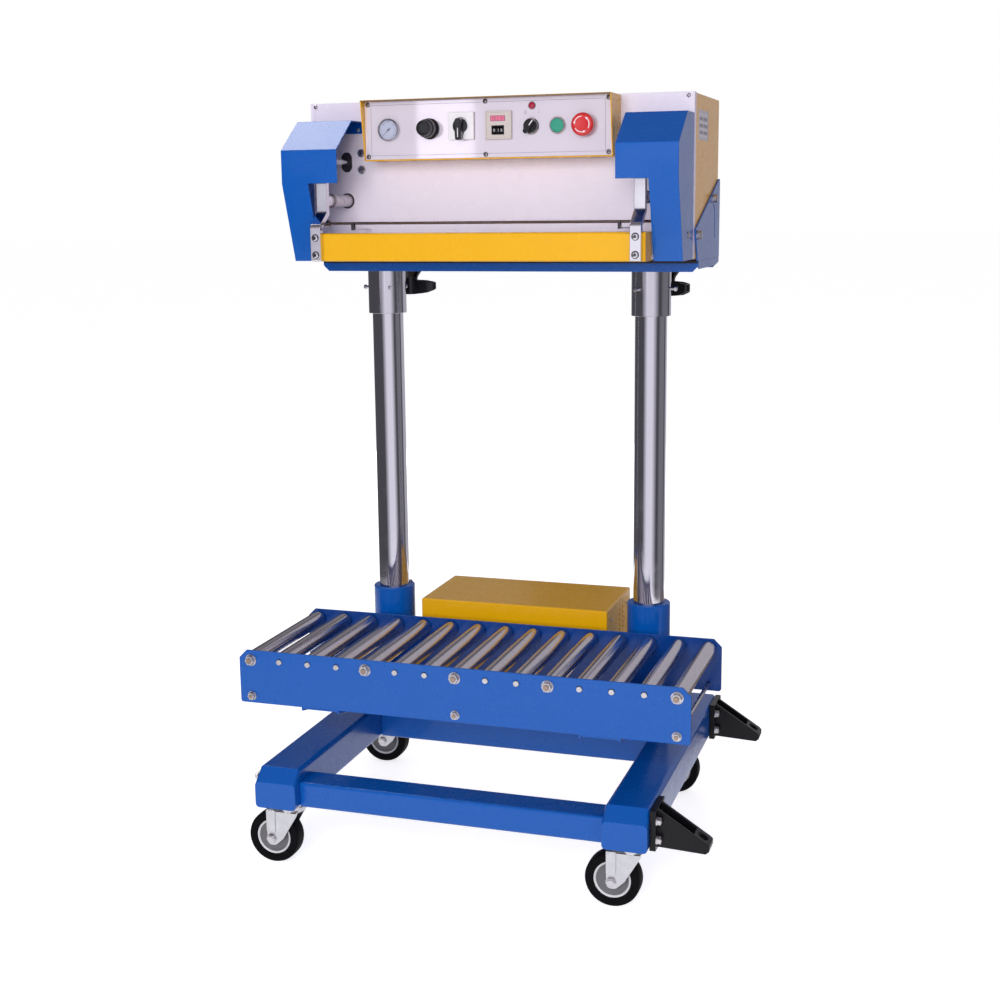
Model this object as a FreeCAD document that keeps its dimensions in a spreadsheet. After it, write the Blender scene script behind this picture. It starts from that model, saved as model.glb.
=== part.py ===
import os
import re

import FreeCAD
import Part
import Sketcher
from FreeCAD import Placement, Rotation, Vector

# Upright heat sealer for bags. Millimetres; X to the right, Y to the back, Z up, floor at Z = 0.
# Pieces are drawn with X = 0 in the middle of the frame and Y = 0 on the front face of the roller table,
# and each one is shifted by centre_x and centre_y so that the origin ends under the middle of the machine.

SIZES = {
    # whole machine
    "centre_x": -20.5,
    "centre_y": -270.0,
    # side legs, square tubes with bevelled ends
    "leg_inside": 285.0,
    "leg_outside": 365.0,
    "leg_front": -72.0,
    "leg_rear": 612.0,
    "leg_bottom": 130.0,
    "leg_top": 202.0,
    "leg_bevel_run": 26.0,
    "leg_bevel_drop": 22.0,
    "leg_corner": 8.0,
    "tube_wall": 3.0,
    "weep_hole": 5.0,
    # cross beams between the legs
    "crossbar_front": -50.0,
    "crossbar_rear": 12.0,
    "crossbar_top": 178.0,
    "beam_front": 342.0,
    "beam_rear": 422.0,
    "beam_corner": 6.0,
    # columns, sockets and the arms under the roller table
    "column_x": 265.5,
    "column_y": 384.0,
    "column_radius": 30.0,
    "column_bore": 26.0,
    "column_top": 1180.0,
    "column_edge": 1.5,
    "socket_radius": 41.5,
    "socket_bore": 30.15,
    "socket_top": 447.0,
    "socket_edge": 1.5,
    "arm_inner": 226.0,
    "arm_outer": 301.0,
    "arm_sheet": 4.0,
    "arm_front": 2.0,
    "arm_front_depth": 7.0,
    "arm_rear_depth": 88.0,
    "arm_rear": 366.0,
    "arm_plate_rear": 346.0,
    "grub_offset": 25.3,
    "grub_radius": 4.0,
    "grub_height": 3.5,
    "grub_depth": 8.0,
    # roller table
    "table_half": 423.0,
    "table_sheet": 4.0,
    "table_rear": 302.0,
    "table_bottom": 303.5,
    "table_top": 404.5,
    "table_chamfer": 15.0,
    "table_corner": 5.0,
    "roller_inset": 24.0,
    "roller_z": 386.0,
    "roller_radius": 15.0,
    "roller_wall": 1.5,
    "roller_gap": 3.0,
    "roller_end": 12.0,
    "roller_edge": 0.8,
    "roller_ring_outer": 11.5,
    "roller_ring_inner": 8.0,
    "roller_ring_depth": 1.0,
    "axle_radius": 5.5,
    "axle_fit": 0.05,
    "axle_stub": 2.5,
    "axle_thread": 11.0,
    "axle_hole_play": 0.1,
    "tie_radius": 4.0,
    "tie_z": 317.5,
    "tie_hole_play": 0.2,
    "tie_thread": 9.5,
    "nut_radius": 9.8,
    "nut_height": 7.5,
    "washer_radius": 11.0,
    "washer_height": 1.6,
    "small_nut_radius": 7.5,
    "small_nut_height": 6.0,
    "small_washer_radius": 8.5,
    # casters
    "caster_x": 325.0,
    "caster_front_y": -2.0,
    "caster_rear_y": 543.0,
    "caster_plate_x": 35.0,
    "caster_plate_y": 49.0,
    "caster_plate_sheet": 3.0,
    "caster_bolt_x": 27.0,
    "caster_bolt_y": 41.0,
    "cup_radius": 25.0,
    "cup_height": 8.0,
    "race_gap": 0.3,
    "king_radius": 6.0,
    "king_fit": 0.05,
    "king_height": 7.0,
    "race_radius": 24.0,
    "fork_top": 107.0,
    "fork_sheet": 4.0,
    "cheek_sheet": 3.0,
    "cheek_inside": 20.0,
    "cheek_left": 9.0,
    "cheek_right": 53.0,
    "cheek_rib": 2.0,
    "rib_width": 18.0,
    "rib_above": 12.0,
    "trail": 34.0,
    "wheel_radius": 50.0,
    "tyre_half": 16.0,
    "tyre_inside": 33.5,
    "hub_half": 18.5,
    "hub_radius": 11.5,
    "disc_half": 10.0,
    "rim_half": 14.0,
    "rim_inside": 29.0,
    "wheel_axle": 6.0,
    "wheel_fit": 0.05,
    "wheel_nut_radius": 9.5,
    "wheel_nut_height": 6.0,
    # foot brackets on the right leg
    "bracket_front_y": -20.0,
    "bracket_rear_y": 550.0,
    "bracket_half": 36.0,
    "bracket_flange": 11.0,
    "bracket_arm_half": 20.0,
    "bracket_nose_x": 464.0,
    "bracket_nose_top": 146.0,
    "bracket_nose_bottom": 128.0,
    "bracket_channel_half": 14.0,
    "bracket_channel_floor": 138.0,
    "bracket_channel_end": 437.0,
    "bracket_bore_x": 450.5,
    "bracket_bore": 5.1,
    "bracket_seat": 146.0,
    "bracket_foot": 130.0,
    "bracket_seat_radius": 8.5,
    "bracket_bolt_y": 28.6,
    "bracket_bolt_low": 148.5,
    "bracket_bolt_high": 182.0,
    "frame_bolt": 4.0,
    "frame_bolt_play": 0.2,
    "frame_bolt_length": 23.0,
    "frame_bolt_head": 7.5,
    "frame_bolt_head_height": 6.4,
    "frame_washer": 8.4,
    "frame_washer_height": 2.0,
    "caster_bolt": 4.0,
    "caster_bolt_head": 7.2,
    "caster_bolt_head_height": 5.3,
    "caster_bolt_length": 22.0,
    # transformer box behind the roller table
    "box_half": 192.0,
    "box_front": 344.0,
    "box_rear": 544.0,
    "box_floor": 3.0,
    "box_top": 431.0,
    "box_sheet": 1.5,
    "vent_size": 6.0,
    "vent_top": 406.0,
    "vent_pitch": 10.0,
    "vent_front": 452.0,
    "vent_rear": 478.0,
    "core_half": 62.0,
    "core_front": 395.0,
    "core_rear": 495.0,
    "core_height": 110.0,
    "coil_half": 30.0,
    "coil_front": 372.0,
    "coil_rear": 518.0,
    "coil_bottom": 228.0,
    "coil_top": 292.0,
    # head: tray, gussets and sleeves
    "tray_half": 367.5,
    "tray_front": 310.0,
    "tray_rear": 521.0,
    "tray_top": 1104.0,
    "tray_bottom": 1084.0,
    "tray_sheet": 3.0,
    "tray_cut": 11.0,
    "tray_side_drop": 15.0,
    "tray_side_cut": 42.0,
    "tray_column_play": 1.2,
    "gusset_sheet": 3.2,
    "gusset_bolt_play": 0.3,
    "gusset_bolt_a_y": 448.0,
    "gusset_bolt_a_z": 1214.0,
    "gusset_bolt_b_y": 292.0,
    "gusset_bolt_b_z": 1150.0,
    "sleeve_radius": 37.0,
    "sleeve_fit": 0.08,
    "sleeve_bottom": 1000.0,
    "sleeve_edge": 1.5,
    "sleeve_screw_z": 1050.0,
    "sleeve_screw": 3.0,
    "sleeve_screw_play": 0.1,
    "sleeve_screw_tip": 30.6,
    "sleeve_screw_end": 44.0,
    "sleeve_screw_head": 4.4,
    "sleeve_screw_head_height": 5.0,
    # head: plate and rear cover
    "plate_front": 268.0,
    "plate_sheet": 3.0,
    "plate_half": 364.6,
    "plate_bottom": 1108.0,
    "plate_top": 1396.5,
    "plate_flange": 15.0,
    "oval_half_x": 11.0,
    "oval_half_z": 18.0,
    "pivot_hole": 13.5,
    "plate_bolt_x": 263.6,
    "plate_bolt_a_z": 1304.0,
    "plate_bolt_b_z": 1274.0,
    "plate_corner_x": 354.0,
    "plate_corner_z": 1390.0,
    "cover_half": 364.6,
    "cover_rear": 519.0,
    "cover_top": 1395.0,
    "cover_sheet": 2.0,
    "cover_gap": 0.6,
    "cover_corner": 6.0,
    "label_y": 305.0,
    "label_z": 1342.0,
    "label_width": 95.0,
    "label_half": 26.0,
    "label_sheet": 0.5,
    # arm shrouds
    "shroud_inside": 255.5,
    "shroud_leg_inside": 313.0,
    "shroud_outside": 364.6,
    "shroud_sheet": 2.0,
    "shroud_front": 133.0,
    "shroud_foot": 179.0,
    "shroud_low": 1248.0,
    "shroud_high": 1307.0,
    "shroud_drop": 35.9,
    "shroud_top_front": 207.0,
    "tab_inside": 261.0,
    "tab_outside": 293.0,
    "tab_height": 21.0,
    "tab_bolt_x": 268.5,
    "tab_bolt_drop": 14.3,
    "shroud_screw_y": 222.0,
    "shroud_screw_z": 1152.0,
    # control box
    "control_half": 233.3,
    "control_top": 1394.5,
    "control_bottom": 1287.5,
    "control_top_front": 194.0,
    "control_low_front": 210.0,
    "control_sheet": 2.0,
    "control_lip": 12.0,
    "panel_front": 212.0,
    "panel_sheet": 2.0,
    "panel_play": 0.3,
    "panel_screw_x": 225.2,
    "panel_screw_high": 1387.2,
    "panel_screw_low": 1295.2,
    "small_head": 3.6,
    "small_head_height": 2.4,
    "small_shank": 2.0,
    # instruments
    "instrument_z": 1342.0,
    "gauge_x": -183.8,
    "gauge_radius": 20.0,
    "gauge_rim": 2.2,
    "gauge_out": 9.0,
    "gauge_in": 24.0,
    "regulator_x": -105.3,
    "regulator_radius": 18.5,
    "regulator_collar": 6.0,
    "cam_x": -44.2,
    "cam_z": 1345.4,
    "cam_half": 24.0,
    "cam_out": 7.0,
    "timer_x": 25.5,
    "timer_z": 1345.0,
    "timer_half": 24.5,
    "timer_out": 6.0,
    "display_z": 1356.8,
    "display_half_x": 14.0,
    "display_half_z": 5.0,
    "window_z": 1336.6,
    "window_half_x": 11.6,
    "window_half_z": 8.0,
    "lamp_x": 86.5,
    "lamp_z": 1377.3,
    "lamp_radius": 7.0,
    "selector_x": 85.4,
    "start_x": 134.2,
    "stop_x": 182.5,
    "bezel_radius": 14.5,
    "bezel_out": 3.0,
    "spindle": 3.0,
    "spindle_fit": 0.08,
    "instrument_hole": 11.3,
    "instrument_body": 11.0,
    "instrument_back": 34.0,
    "knob_gap": 0.5,
    # jaws
    "jaw_half": 309.6,
    "jaw_front": 129.5,
    "jaw_rear": 180.0,
    "jaw_low": 1109.0,
    "jaw_high": 1159.0,
    "jaw_sheet": 2.0,
    "jaw_corner": 4.0,
    "bar_half": 303.0,
    "bar_front": 131.5,
    "bar_rear": 175.5,
    "bar_middle": 1134.5,
    "bar_half_height": 21.5,
    "lean_sine": 0.13917,
    "lean_cosine": 0.99027,
    "pad_thick": 5.5,
    "pad_half": 10.0,
    "pad_inset": 2.0,
    "fixed_front": 193.5,
    "fixed_rear": 230.0,
    "fixed_low": 1118.0,
    "fixed_high": 1150.0,
    "fixed_slot_low": 1128.0,
    "fixed_slot_high": 1140.0,
    "fixed_slot_depth": 6.0,
    "post_radius": 10.0,
    "post_x": 130.0,
    "band_sheet": 0.6,
    "band_low": 1130.0,
    "band_high": 1138.0,
    "tape_y": 189.0,
    "tape_z": 1176.0,
    "tape_radius": 2.5,
    "tape_half": 310.0,
    "tape_collar_x": 302.0,
    "tape_collar_half": 6.0,
    "tape_collar_radius": 6.0,
    "hook_x": 250.5,
    "hook_half": 1.5,
    # arms and their drive
    "arm_x": 294.7,
    "arm_half": 10.0,
    "arm_thick": 12.0,
    "arm_high_front": 150.0,
    "arm_low_front": 117.5,
    "arm_top": 1298.0,
    "arm_crank_high": 1197.0,
    "arm_crank_low": 1173.0,
    "arm_foot": 1110.0,
    "arm_bolt_high": 1151.5,
    "arm_bolt_low": 1121.0,
    "arm_bolt": 4.0,
    "arm_bolt_head": 6.5,
    "arm_bolt_head_height": 4.5,
    "arm_bolt_grip": 12.0,
    "arm_corner": 4.0,
    "pivot_y": 169.0,
    "pivot_z": 1217.0,
    "rod_z": 1288.0,
    "lug_inside": 4.4,
    "lug_radius": 8.0,
    "tongue_half": 4.0,
    "tongue_radius": 6.4,
    "pin_radius": 3.0,
    "pin_fit": 0.06,
    "pin_drop": 0.8,
    "pivot_bar": 11.0,
    "pivot_bar_front": 179.0,
    "pivot_flange_half": 22.0,
    "pivot_flange": 8.0,
    "rod_radius": 6.0,
    "rod_fit": 0.06,
    "cylinder_half": 23.0,
    "cylinder_rear": 349.0,
    "cylinder_nose": 12.0,
    "cylinder_cap": 5.0,
    "cylinder_bore": 16.0,
    "piston_fit": 0.08,
    "piston_front": 329.0,
    "piston_rear": 337.0,
    # clamp levers
    "lever_dx": 8.0,
    "lever_y": 487.0,
    "lever_hub": 16.0,
    "lever_low": 1030.5,
    "lever_shoulder": 1059.0,
    "lever_high": 1078.0,
    "lever_reach": 56.0,
    "lever_bore": 5.0,
    "lever_fit": 0.06,
    "lever_boss": 26.0,
    "lever_collar_height": 4.0,
    "lever_half": 10.5,
    "lever_wall": 3.0,
    "lever_floor": 6.0,
    "lever_stud_end": 1040.0,
    "lever_spacer": 9.0,
    # knobs and buttons
    "regulator_knob": 16.5,
    "regulator_cap": 14.0,
    "regulator_front": 177.0,
    "regulator_step": 187.0,
    "cam_knob_radius": 13.0,
    "cam_knob_disc": 4.0,
    "cam_knob_front": 187.0,
    "cam_handle_up": 13.0,
    "cam_handle_down": 25.0,
    "cam_handle_half": 6.5,
    "selector_knob_radius": 12.5,
    "selector_knob_front": 193.0,
    "selector_knob_step": 201.0,
    "selector_wing": 4.6,
    "start_radius": 12.0,
    "start_well": 12.3,
    "start_guard": 8.0,
    "start_front": 202.5,
    "start_back": 205.8,
    "stop_radius": 20.0,
    "stop_front": 189.0,
    "stop_back": 199.0,
    "stop_neck": 10.0,
    "stop_neck_back": 204.5,
    "spindle_length": 26.0,
    "wheel_centre": 7.2,
    "thumb_radius": 6.6,
    "thumb_half": 11.0,
    "thumb_axle": 1.0,
    "thumb_fit": 0.06,
    "thumb_axle_half": 15.0,
    "timer_depth": 52.0,
}

doc = FreeCAD.newDocument("heat_sealer")
table = doc.addObject("Spreadsheet::Sheet", "sizes")
for row, (name, value) in enumerate(SIZES.items(), start=1):
    table.set("A%d" % row, name)
    table.set("B%d" % row, str(value))
    table.setAlias("B%d" % row, name)
doc.recompute()

AXES = {"X": "YZ_Plane", "Y": "XZ_Plane", "Z": "XY_Plane"}
DIRECTIONS = {"X": Vector(1, 0, 0), "Y": Vector(0, 1, 0), "Z": Vector(0, 0, 1)}
nodes = []


def formula(text):
    """Points every word of the table that a formula names at its cell."""
    def cell(word):
        return "<<sizes>>." + word.group() if word.group() in SIZES else word.group()
    return re.sub(r"[A-Za-z_][A-Za-z_0-9]*", cell, str(text))


def box(u0, v0, u1, v1):
    """Outline of a rectangle between two opposite corners."""
    return [(u0, v0), (u1, v0), (u1, v1), (u0, v1)]


def around(u, v, half_u, half_v):
    """Outline of a rectangle about its centre."""
    return box("%s - (%s)" % (u, half_u), "%s - (%s)" % (v, half_v),
               "%s + (%s)" % (u, half_u), "%s + (%s)" % (v, half_v))


def hexagon(u, v, radius):
    """Outline of a hexagon with two corners level with its centre."""
    corners = [(1, 0), (0.5, 0.8660254), (-0.5, 0.8660254), (-1, 0), (-0.5, -0.8660254), (0.5, -0.8660254)]
    return [("%s + %s * %s" % (u, radius, a), "%s + %s * %s" % (v, radius, b)) for a, b in corners]


def disc(u, v, radius):
    """Outline of a circle."""
    return (u, v, radius)


def mirrored(points):
    """The same outline on the other side of the machine's middle plane."""
    if isinstance(points, tuple):
        return ("-(%s)" % points[0], points[1], points[2])
    return [("-(%s)" % u, v) for u, v in points]


def along(edge, axis):
    """True for a straight edge that runs along one axis."""
    if not isinstance(edge.Curve, (Part.Line, Part.LineSegment)):
        return False
    return abs(abs(edge.tangentAt(edge.FirstParameter).dot(DIRECTIONS[axis])) - 1) < 1e-6


class Piece:
    """A body whose features are drawn in machine coordinates."""

    def __init__(self, name, node=True):
        self.body = doc.addObject("PartDesign::Body", name)
        self.body.Label = name
        self.count = 0
        self.body.setExpression("Placement.Base.x", formula("centre_x"))
        self.body.setExpression("Placement.Base.y", formula("centre_y"))
        if node:
            nodes.append(self.body)

    def feature(self, kind, label):
        """Adds one named feature to the body."""
        self.count += 1
        return self.body.newObject(kind, "%s_%s_%02d" % (self.body.Name, label, self.count))

    def sketch(self, axis, offset, loops, turn=None):
        """Draws closed outlines on the plane square to an axis; every corner is tied to the table."""
        drawing = self.feature("Sketcher::SketchObject", "outline")
        plane = [item for item in self.body.Origin.OriginFeatures if item.Role == AXES[axis]][0]
        drawing.AttachmentSupport = [(plane, "")]
        drawing.MapMode = "FlatFace"
        if turn is not None:
            drawing.AttachmentOffset = Placement(Vector(0, 0, 0), Rotation(Vector(0, 1, 0), turn))
        for part, text in zip("xyz", offset):
            if text not in ("", "0"):
                drawing.setExpression("AttachmentOffset.Base." + part, formula(text))
        for loop in loops:
            if isinstance(loop, tuple):
                self.circle(drawing, *loop)
            else:
                self.polygon(drawing, loop)
        return drawing

    def polygon(self, drawing, points):
        """One closed outline of straight lines."""
        first = drawing.GeometryCount
        total = len(points)
        ring = [Vector(10, 0, 0)]
        for n in range(1, total):
            ring.append(Rotation(Vector(0, 0, 1), 360.0 * n / total).multVec(ring[0]))
        for n in range(total):
            drawing.addGeometry(Part.LineSegment(ring[n], ring[(n + 1) % total]), False)
        for n in range(total):
            drawing.addConstraint(Sketcher.Constraint("Coincident", first + n, 2, first + (n + 1) % total, 1))
        for n, (u, v) in enumerate(points):
            self.pin_down(drawing, first + n, 1, u, v)

    def circle(self, drawing, u, v, radius):
        """One circle."""
        index = drawing.addGeometry(Part.Circle(Vector(1, 1, 0), Vector(0, 0, 1), 5), False)
        self.pin_down(drawing, index, 3, u, v)
        place = drawing.addConstraint(Sketcher.Constraint("Radius", index, 5.0))
        drawing.setExpression("Constraints[%d]" % place, formula(radius))

    def pin_down(self, drawing, index, end, u, v):
        """Ties one point of an outline to two formulas."""
        for kind, text in (("DistanceX", u), ("DistanceY", v)):
            place = drawing.addConstraint(Sketcher.Constraint(kind, -1, 1, index, end, 10.0))
            drawing.setExpression("Constraints[%d]" % place, formula(text))

    def extrude(self, kind, axis, start, length, loops):
        """A pad or pocket that runs from start in the positive direction of the axis."""
        sign = "-(%s)" if axis == "Y" else "%s"
        drawing = self.sketch(axis, ("", "", sign % start), loops)
        result = self.feature("PartDesign::" + kind, kind.lower())
        result.Profile = drawing
        result.setExpression("Length", formula(length))
        result.Reversed = (axis == "Y") == (kind == "Pad")
        return result

    def add(self, axis, start, end, *loops):
        """Material between two stations of an axis."""
        return self.extrude("Pad", axis, start, "(%s) - (%s)" % (end, start), loops)

    def cut(self, axis, start, end, *loops):
        """Takes material away between two stations of an axis."""
        return self.extrude("Pocket", axis, start, "(%s) - (%s)" % (end, start), loops)

    def add_sides(self, start, end, *loops):
        """The same outline square to X on the right and on the left."""
        self.add("X", start, end, *loops)
        self.add("X", "-(%s)" % end, "-(%s)" % start, *loops)

    def cut_sides(self, start, end, *loops):
        """The same opening square to X on the right and on the left."""
        self.cut("X", start, end, *loops)
        self.cut("X", "-(%s)" % end, "-(%s)" % start, *loops)

    def add_both(self, axis, start, end, *loops):
        """Outlines and their mirror images."""
        self.add(axis, start, end, *(list(loops) + [mirrored(loop) for loop in loops]))

    def cut_both(self, axis, start, end, *loops):
        """Openings and their mirror images."""
        self.cut(axis, start, end, *(list(loops) + [mirrored(loop) for loop in loops]))

    def turned(self, axis, u, v, loop, kind="Revolution"):
        """A turned shape; the outline gives radius and station, the axis passes through u and v."""
        if axis == "Y":
            drawing = self.sketch("Z", (u, "", v), [loop])
        elif axis == "Z":
            drawing = self.sketch("Y", (u, "", "-(%s)" % v), [loop])
        else:
            drawing = self.sketch("Z", ("", u, v), [[(b, a) for a, b in loop]])
        result = self.feature("PartDesign::" + kind, kind.lower())
        result.Profile = drawing
        result.ReferenceAxis = (drawing, ["H_Axis" if axis == "X" else "V_Axis"])
        result.Angle = 360
        return result

    def aimed(self, kind, angle, x, y, z, start, length, radius):
        """A round pad or pocket square to Z that points at an angle from +X about one upright line."""
        cosine = Rotation(Vector(0, 0, 1), angle).multVec(Vector(1, 0, 0))
        offset = ("%s + (%s) * %.7f" % (y, start, cosine.y), z, "%s + (%s) * %.7f" % (x, start, cosine.x))
        loop = hexagon("0", "0", radius) if kind == "Hex" else disc("0", "0", radius)
        drawing = self.sketch("X", offset, [loop], turn=angle)
        kind = "Pocket" if kind == "Pocket" else "Pad"
        result = self.feature("PartDesign::" + kind, kind.lower())
        result.Profile = drawing
        result.setExpression("Length", formula(length))
        result.Reversed = kind == "Pocket"
        return result

    def soften(self, kind, size, pick):
        """Rounds or chamfers the edges that pick accepts."""
        doc.recompute()
        base = self.body.Tip
        names = ["Edge%d" % n for n, edge in enumerate(base.Shape.Edges, start=1) if pick(edge)]
        result = self.feature("PartDesign::" + kind, kind.lower())
        result.Base = (base, names)
        result.setExpression("Radius" if kind == "Fillet" else "Size", formula(size))
        return result


def group(name, *pieces):
    """Several touching solids kept apart under one name."""
    result = doc.addObject("Part::Compound", name)
    result.Label = name
    result.Links = [piece.body for piece in pieces]
    nodes.append(result)
    return result


def stations(count):
    """Positions of the rollers, spread evenly along the table."""
    return ["(table_half - roller_inset) * %.8f" % (2.0 * n / (count - 1) - 1) for n in range(count)]


# Side legs: bevelled tubes with a weep hole and holes for the bolts.
legs = Piece("side_legs")
leg_side = [
    ("leg_front", "leg_bottom"),
    ("leg_front", "leg_top - leg_bevel_drop"),
    ("leg_front + leg_bevel_run", "leg_top"),
    ("leg_rear - leg_bevel_run", "leg_top"),
    ("leg_rear", "leg_top - leg_bevel_drop"),
    ("leg_rear", "leg_bottom"),
]
leg_hollow = [
    ("leg_front + tube_wall", "leg_bottom + tube_wall"),
    ("leg_front + tube_wall", "leg_top - leg_bevel_drop - tube_wall"),
    ("leg_front + leg_bevel_run + tube_wall", "leg_top - tube_wall"),
    ("leg_rear - leg_bevel_run - tube_wall", "leg_top - tube_wall"),
    ("leg_rear - tube_wall", "leg_top - leg_bevel_drop - tube_wall"),
    ("leg_rear - tube_wall", "leg_bottom + tube_wall"),
]
legs.add_sides("leg_inside", "leg_outside", leg_side)
legs.soften("Fillet", "leg_corner", lambda edge: not along(edge, "X") and not along(edge, "Z"))
legs.cut_sides("leg_inside + tube_wall", "leg_outside - tube_wall", leg_hollow)
bracket_bolts = []
for middle in ("bracket_front_y", "bracket_rear_y"):
    for side in ("-", "+"):
        for height in ("bracket_bolt_low", "bracket_bolt_high"):
            bracket_bolts.append(("%s %s bracket_bolt_y" % (middle, side), height))
bolt_holes = [disc(y, z, "frame_bolt + frame_bolt_play") for y, z in bracket_bolts]
legs.cut_sides("leg_outside - tube_wall", "leg_outside", *bolt_holes)
caster_bolts = []
for middle in ("caster_front_y", "caster_rear_y"):
    for a in ("-", "+"):
        for b in ("-", "+"):
            caster_bolts.append(("caster_x %s caster_bolt_x" % a, "%s %s caster_bolt_y" % (middle, b)))
caster_holes = [disc(x, y, "caster_bolt + frame_bolt_play") for x, y in caster_bolts]
weep = disc("caster_x", "(leg_front + leg_rear) / 2", "weep_hole")
legs.cut_both("Z", "leg_bottom", "leg_bottom + tube_wall", weep, *caster_holes)
grub_spots = [("column_x - grub_offset", "column_y + grub_offset")]

# Cross beams: open tubes between the legs.
beams = Piece("cross_beams")
crossbar = box("crossbar_front", "leg_bottom", "crossbar_rear", "crossbar_top")
rear_beam = box("beam_front", "leg_bottom", "beam_rear", "leg_top")
beams.add("X", "-leg_inside", "leg_inside", crossbar, rear_beam)
beams.soften("Fillet", "beam_corner", lambda edge: along(edge, "X"))
crossbar_hollow = box("crossbar_front + tube_wall", "leg_bottom + tube_wall",
                      "crossbar_rear - tube_wall", "crossbar_top - tube_wall")
beam_hollow = box("beam_front + tube_wall", "leg_bottom + tube_wall",
                  "beam_rear - tube_wall", "leg_top - tube_wall")
beams.cut("X", "-leg_inside", "leg_inside", crossbar_hollow, beam_hollow)

# Column sockets with the channel arms that carry the roller table.
sockets = Piece("column_sockets")
sockets.add_both("Z", "leg_top", "socket_top", disc("column_x", "column_y", "socket_radius"))
sockets.soften("Chamfer", "socket_edge", lambda edge: edge.BoundBox.ZMin > SIZES["socket_top"] - 1)
arm_web = [
    ("arm_front", "table_bottom"),
    ("arm_front", "table_bottom - arm_front_depth"),
    ("arm_rear", "table_bottom - arm_rear_depth"),
    ("arm_rear", "table_bottom"),
]
sockets.add_sides("arm_inner", "arm_inner + arm_sheet", arm_web)
sockets.add_sides("arm_outer - arm_sheet", "arm_outer", arm_web)
sockets.add_both("Z", "table_bottom - arm_sheet", "table_bottom",
                 box("arm_inner", "arm_front", "arm_outer", "arm_plate_rear"))
sockets.cut_both("Z", "leg_top", "socket_top", disc("column_x", "column_y", "socket_bore"))
sockets.cut_both("Z", "socket_top - grub_depth", "socket_top",
                 *[disc(x, y, "grub_radius") for x, y in grub_spots])

# Columns: ground tubes.
columns = Piece("columns")
columns.add_both("Z", "leg_top", "column_top", disc("column_x", "column_y", "column_radius"))
columns.soften("Chamfer", "column_edge", lambda edge: edge.BoundBox.ZMin > SIZES["column_top"] - 1)
columns.cut_both("Z", "leg_top", "column_top", disc("column_x", "column_y", "column_bore"))

# Roller table plates with the holes of the axles and tie rods.
ROLLERS = 15
THREADED = (0, 4, 7, 10, 14)
TIED = (0, 7, 14)
for plate_name, front in (("conveyor_front_plate", "0"), ("conveyor_rear_plate", "table_rear")):
    side_plate = Piece(plate_name)
    side_outline = [
        ("-table_half", "table_bottom"),
        ("table_half", "table_bottom"),
        ("table_half", "table_top - table_chamfer"),
        ("table_half - table_chamfer", "table_top"),
        ("-table_half + table_chamfer", "table_top"),
        ("-table_half", "table_top - table_chamfer"),
    ]
    side_plate.add("Y", front, front + " + table_sheet", side_outline)
    side_plate.soften("Fillet", "table_corner", lambda edge: along(edge, "Y")
                      and edge.CenterOfMass.z < SIZES["table_bottom"] + 1)
    axle_holes = [disc(x, "roller_z", "axle_radius + axle_hole_play") for x in stations(ROLLERS)]
    tie_holes = [disc(stations(ROLLERS)[n], "tie_z", "tie_radius + tie_hole_play") for n in TIED]
    side_plate.cut("Y", front, front + " + table_sheet", *(axle_holes + tie_holes))

# Roller axles; the threaded ones stand out far enough for a nut.
axles = Piece("roller_axles")
plain = [disc(x, "roller_z", "axle_radius") for n, x in enumerate(stations(ROLLERS)) if n not in THREADED]
threaded = [disc(stations(ROLLERS)[n], "roller_z", "axle_radius") for n in THREADED]
axles.add("Y", "-axle_stub", "table_rear + table_sheet + axle_stub", *plain)
axles.add("Y", "-axle_thread", "table_rear + table_sheet + axle_thread", *threaded)

# Tie rods with their nuts, and the nuts on the threaded axles.
ties = Piece("tie_bolts")
tie_spots = [(stations(ROLLERS)[n], "tie_z") for n in TIED]
nut_spots = [(stations(ROLLERS)[n], "roller_z") for n in THREADED]
ties.add("Y", "-tie_thread", "table_rear + table_sheet + tie_thread",
         *[disc(x, z, "tie_radius") for x, z in tie_spots])
front_face = "-washer_height"
rear_face = "table_rear + table_sheet"
for start, end in ((front_face, "0"), (rear_face, rear_face + " + washer_height")):
    ties.add("Y", start, end, *([disc(x, z, "small_washer_radius") for x, z in tie_spots]
                                + [disc(x, z, "washer_radius") for x, z in nut_spots]))
ties.add("Y", front_face + " - small_nut_height", front_face,
         *[hexagon(x, z, "small_nut_radius") for x, z in tie_spots])
ties.add("Y", rear_face + " + washer_height", rear_face + " + washer_height + small_nut_height",
         *[hexagon(x, z, "small_nut_radius") for x, z in tie_spots])
ties.add("Y", front_face + " - nut_height", front_face, *[hexagon(x, z, "nut_radius") for x, z in nut_spots])
ties.add("Y", rear_face + " + washer_height", rear_face + " + washer_height + nut_height",
         *[hexagon(x, z, "nut_radius") for x, z in nut_spots])
nut_bores = [disc(x, z, "axle_radius") for x, z in nut_spots]
ties.cut("Y", front_face + " - nut_height", "0", *nut_bores)
ties.cut("Y", rear_face, rear_face + " + washer_height + nut_height", *nut_bores)

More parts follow.
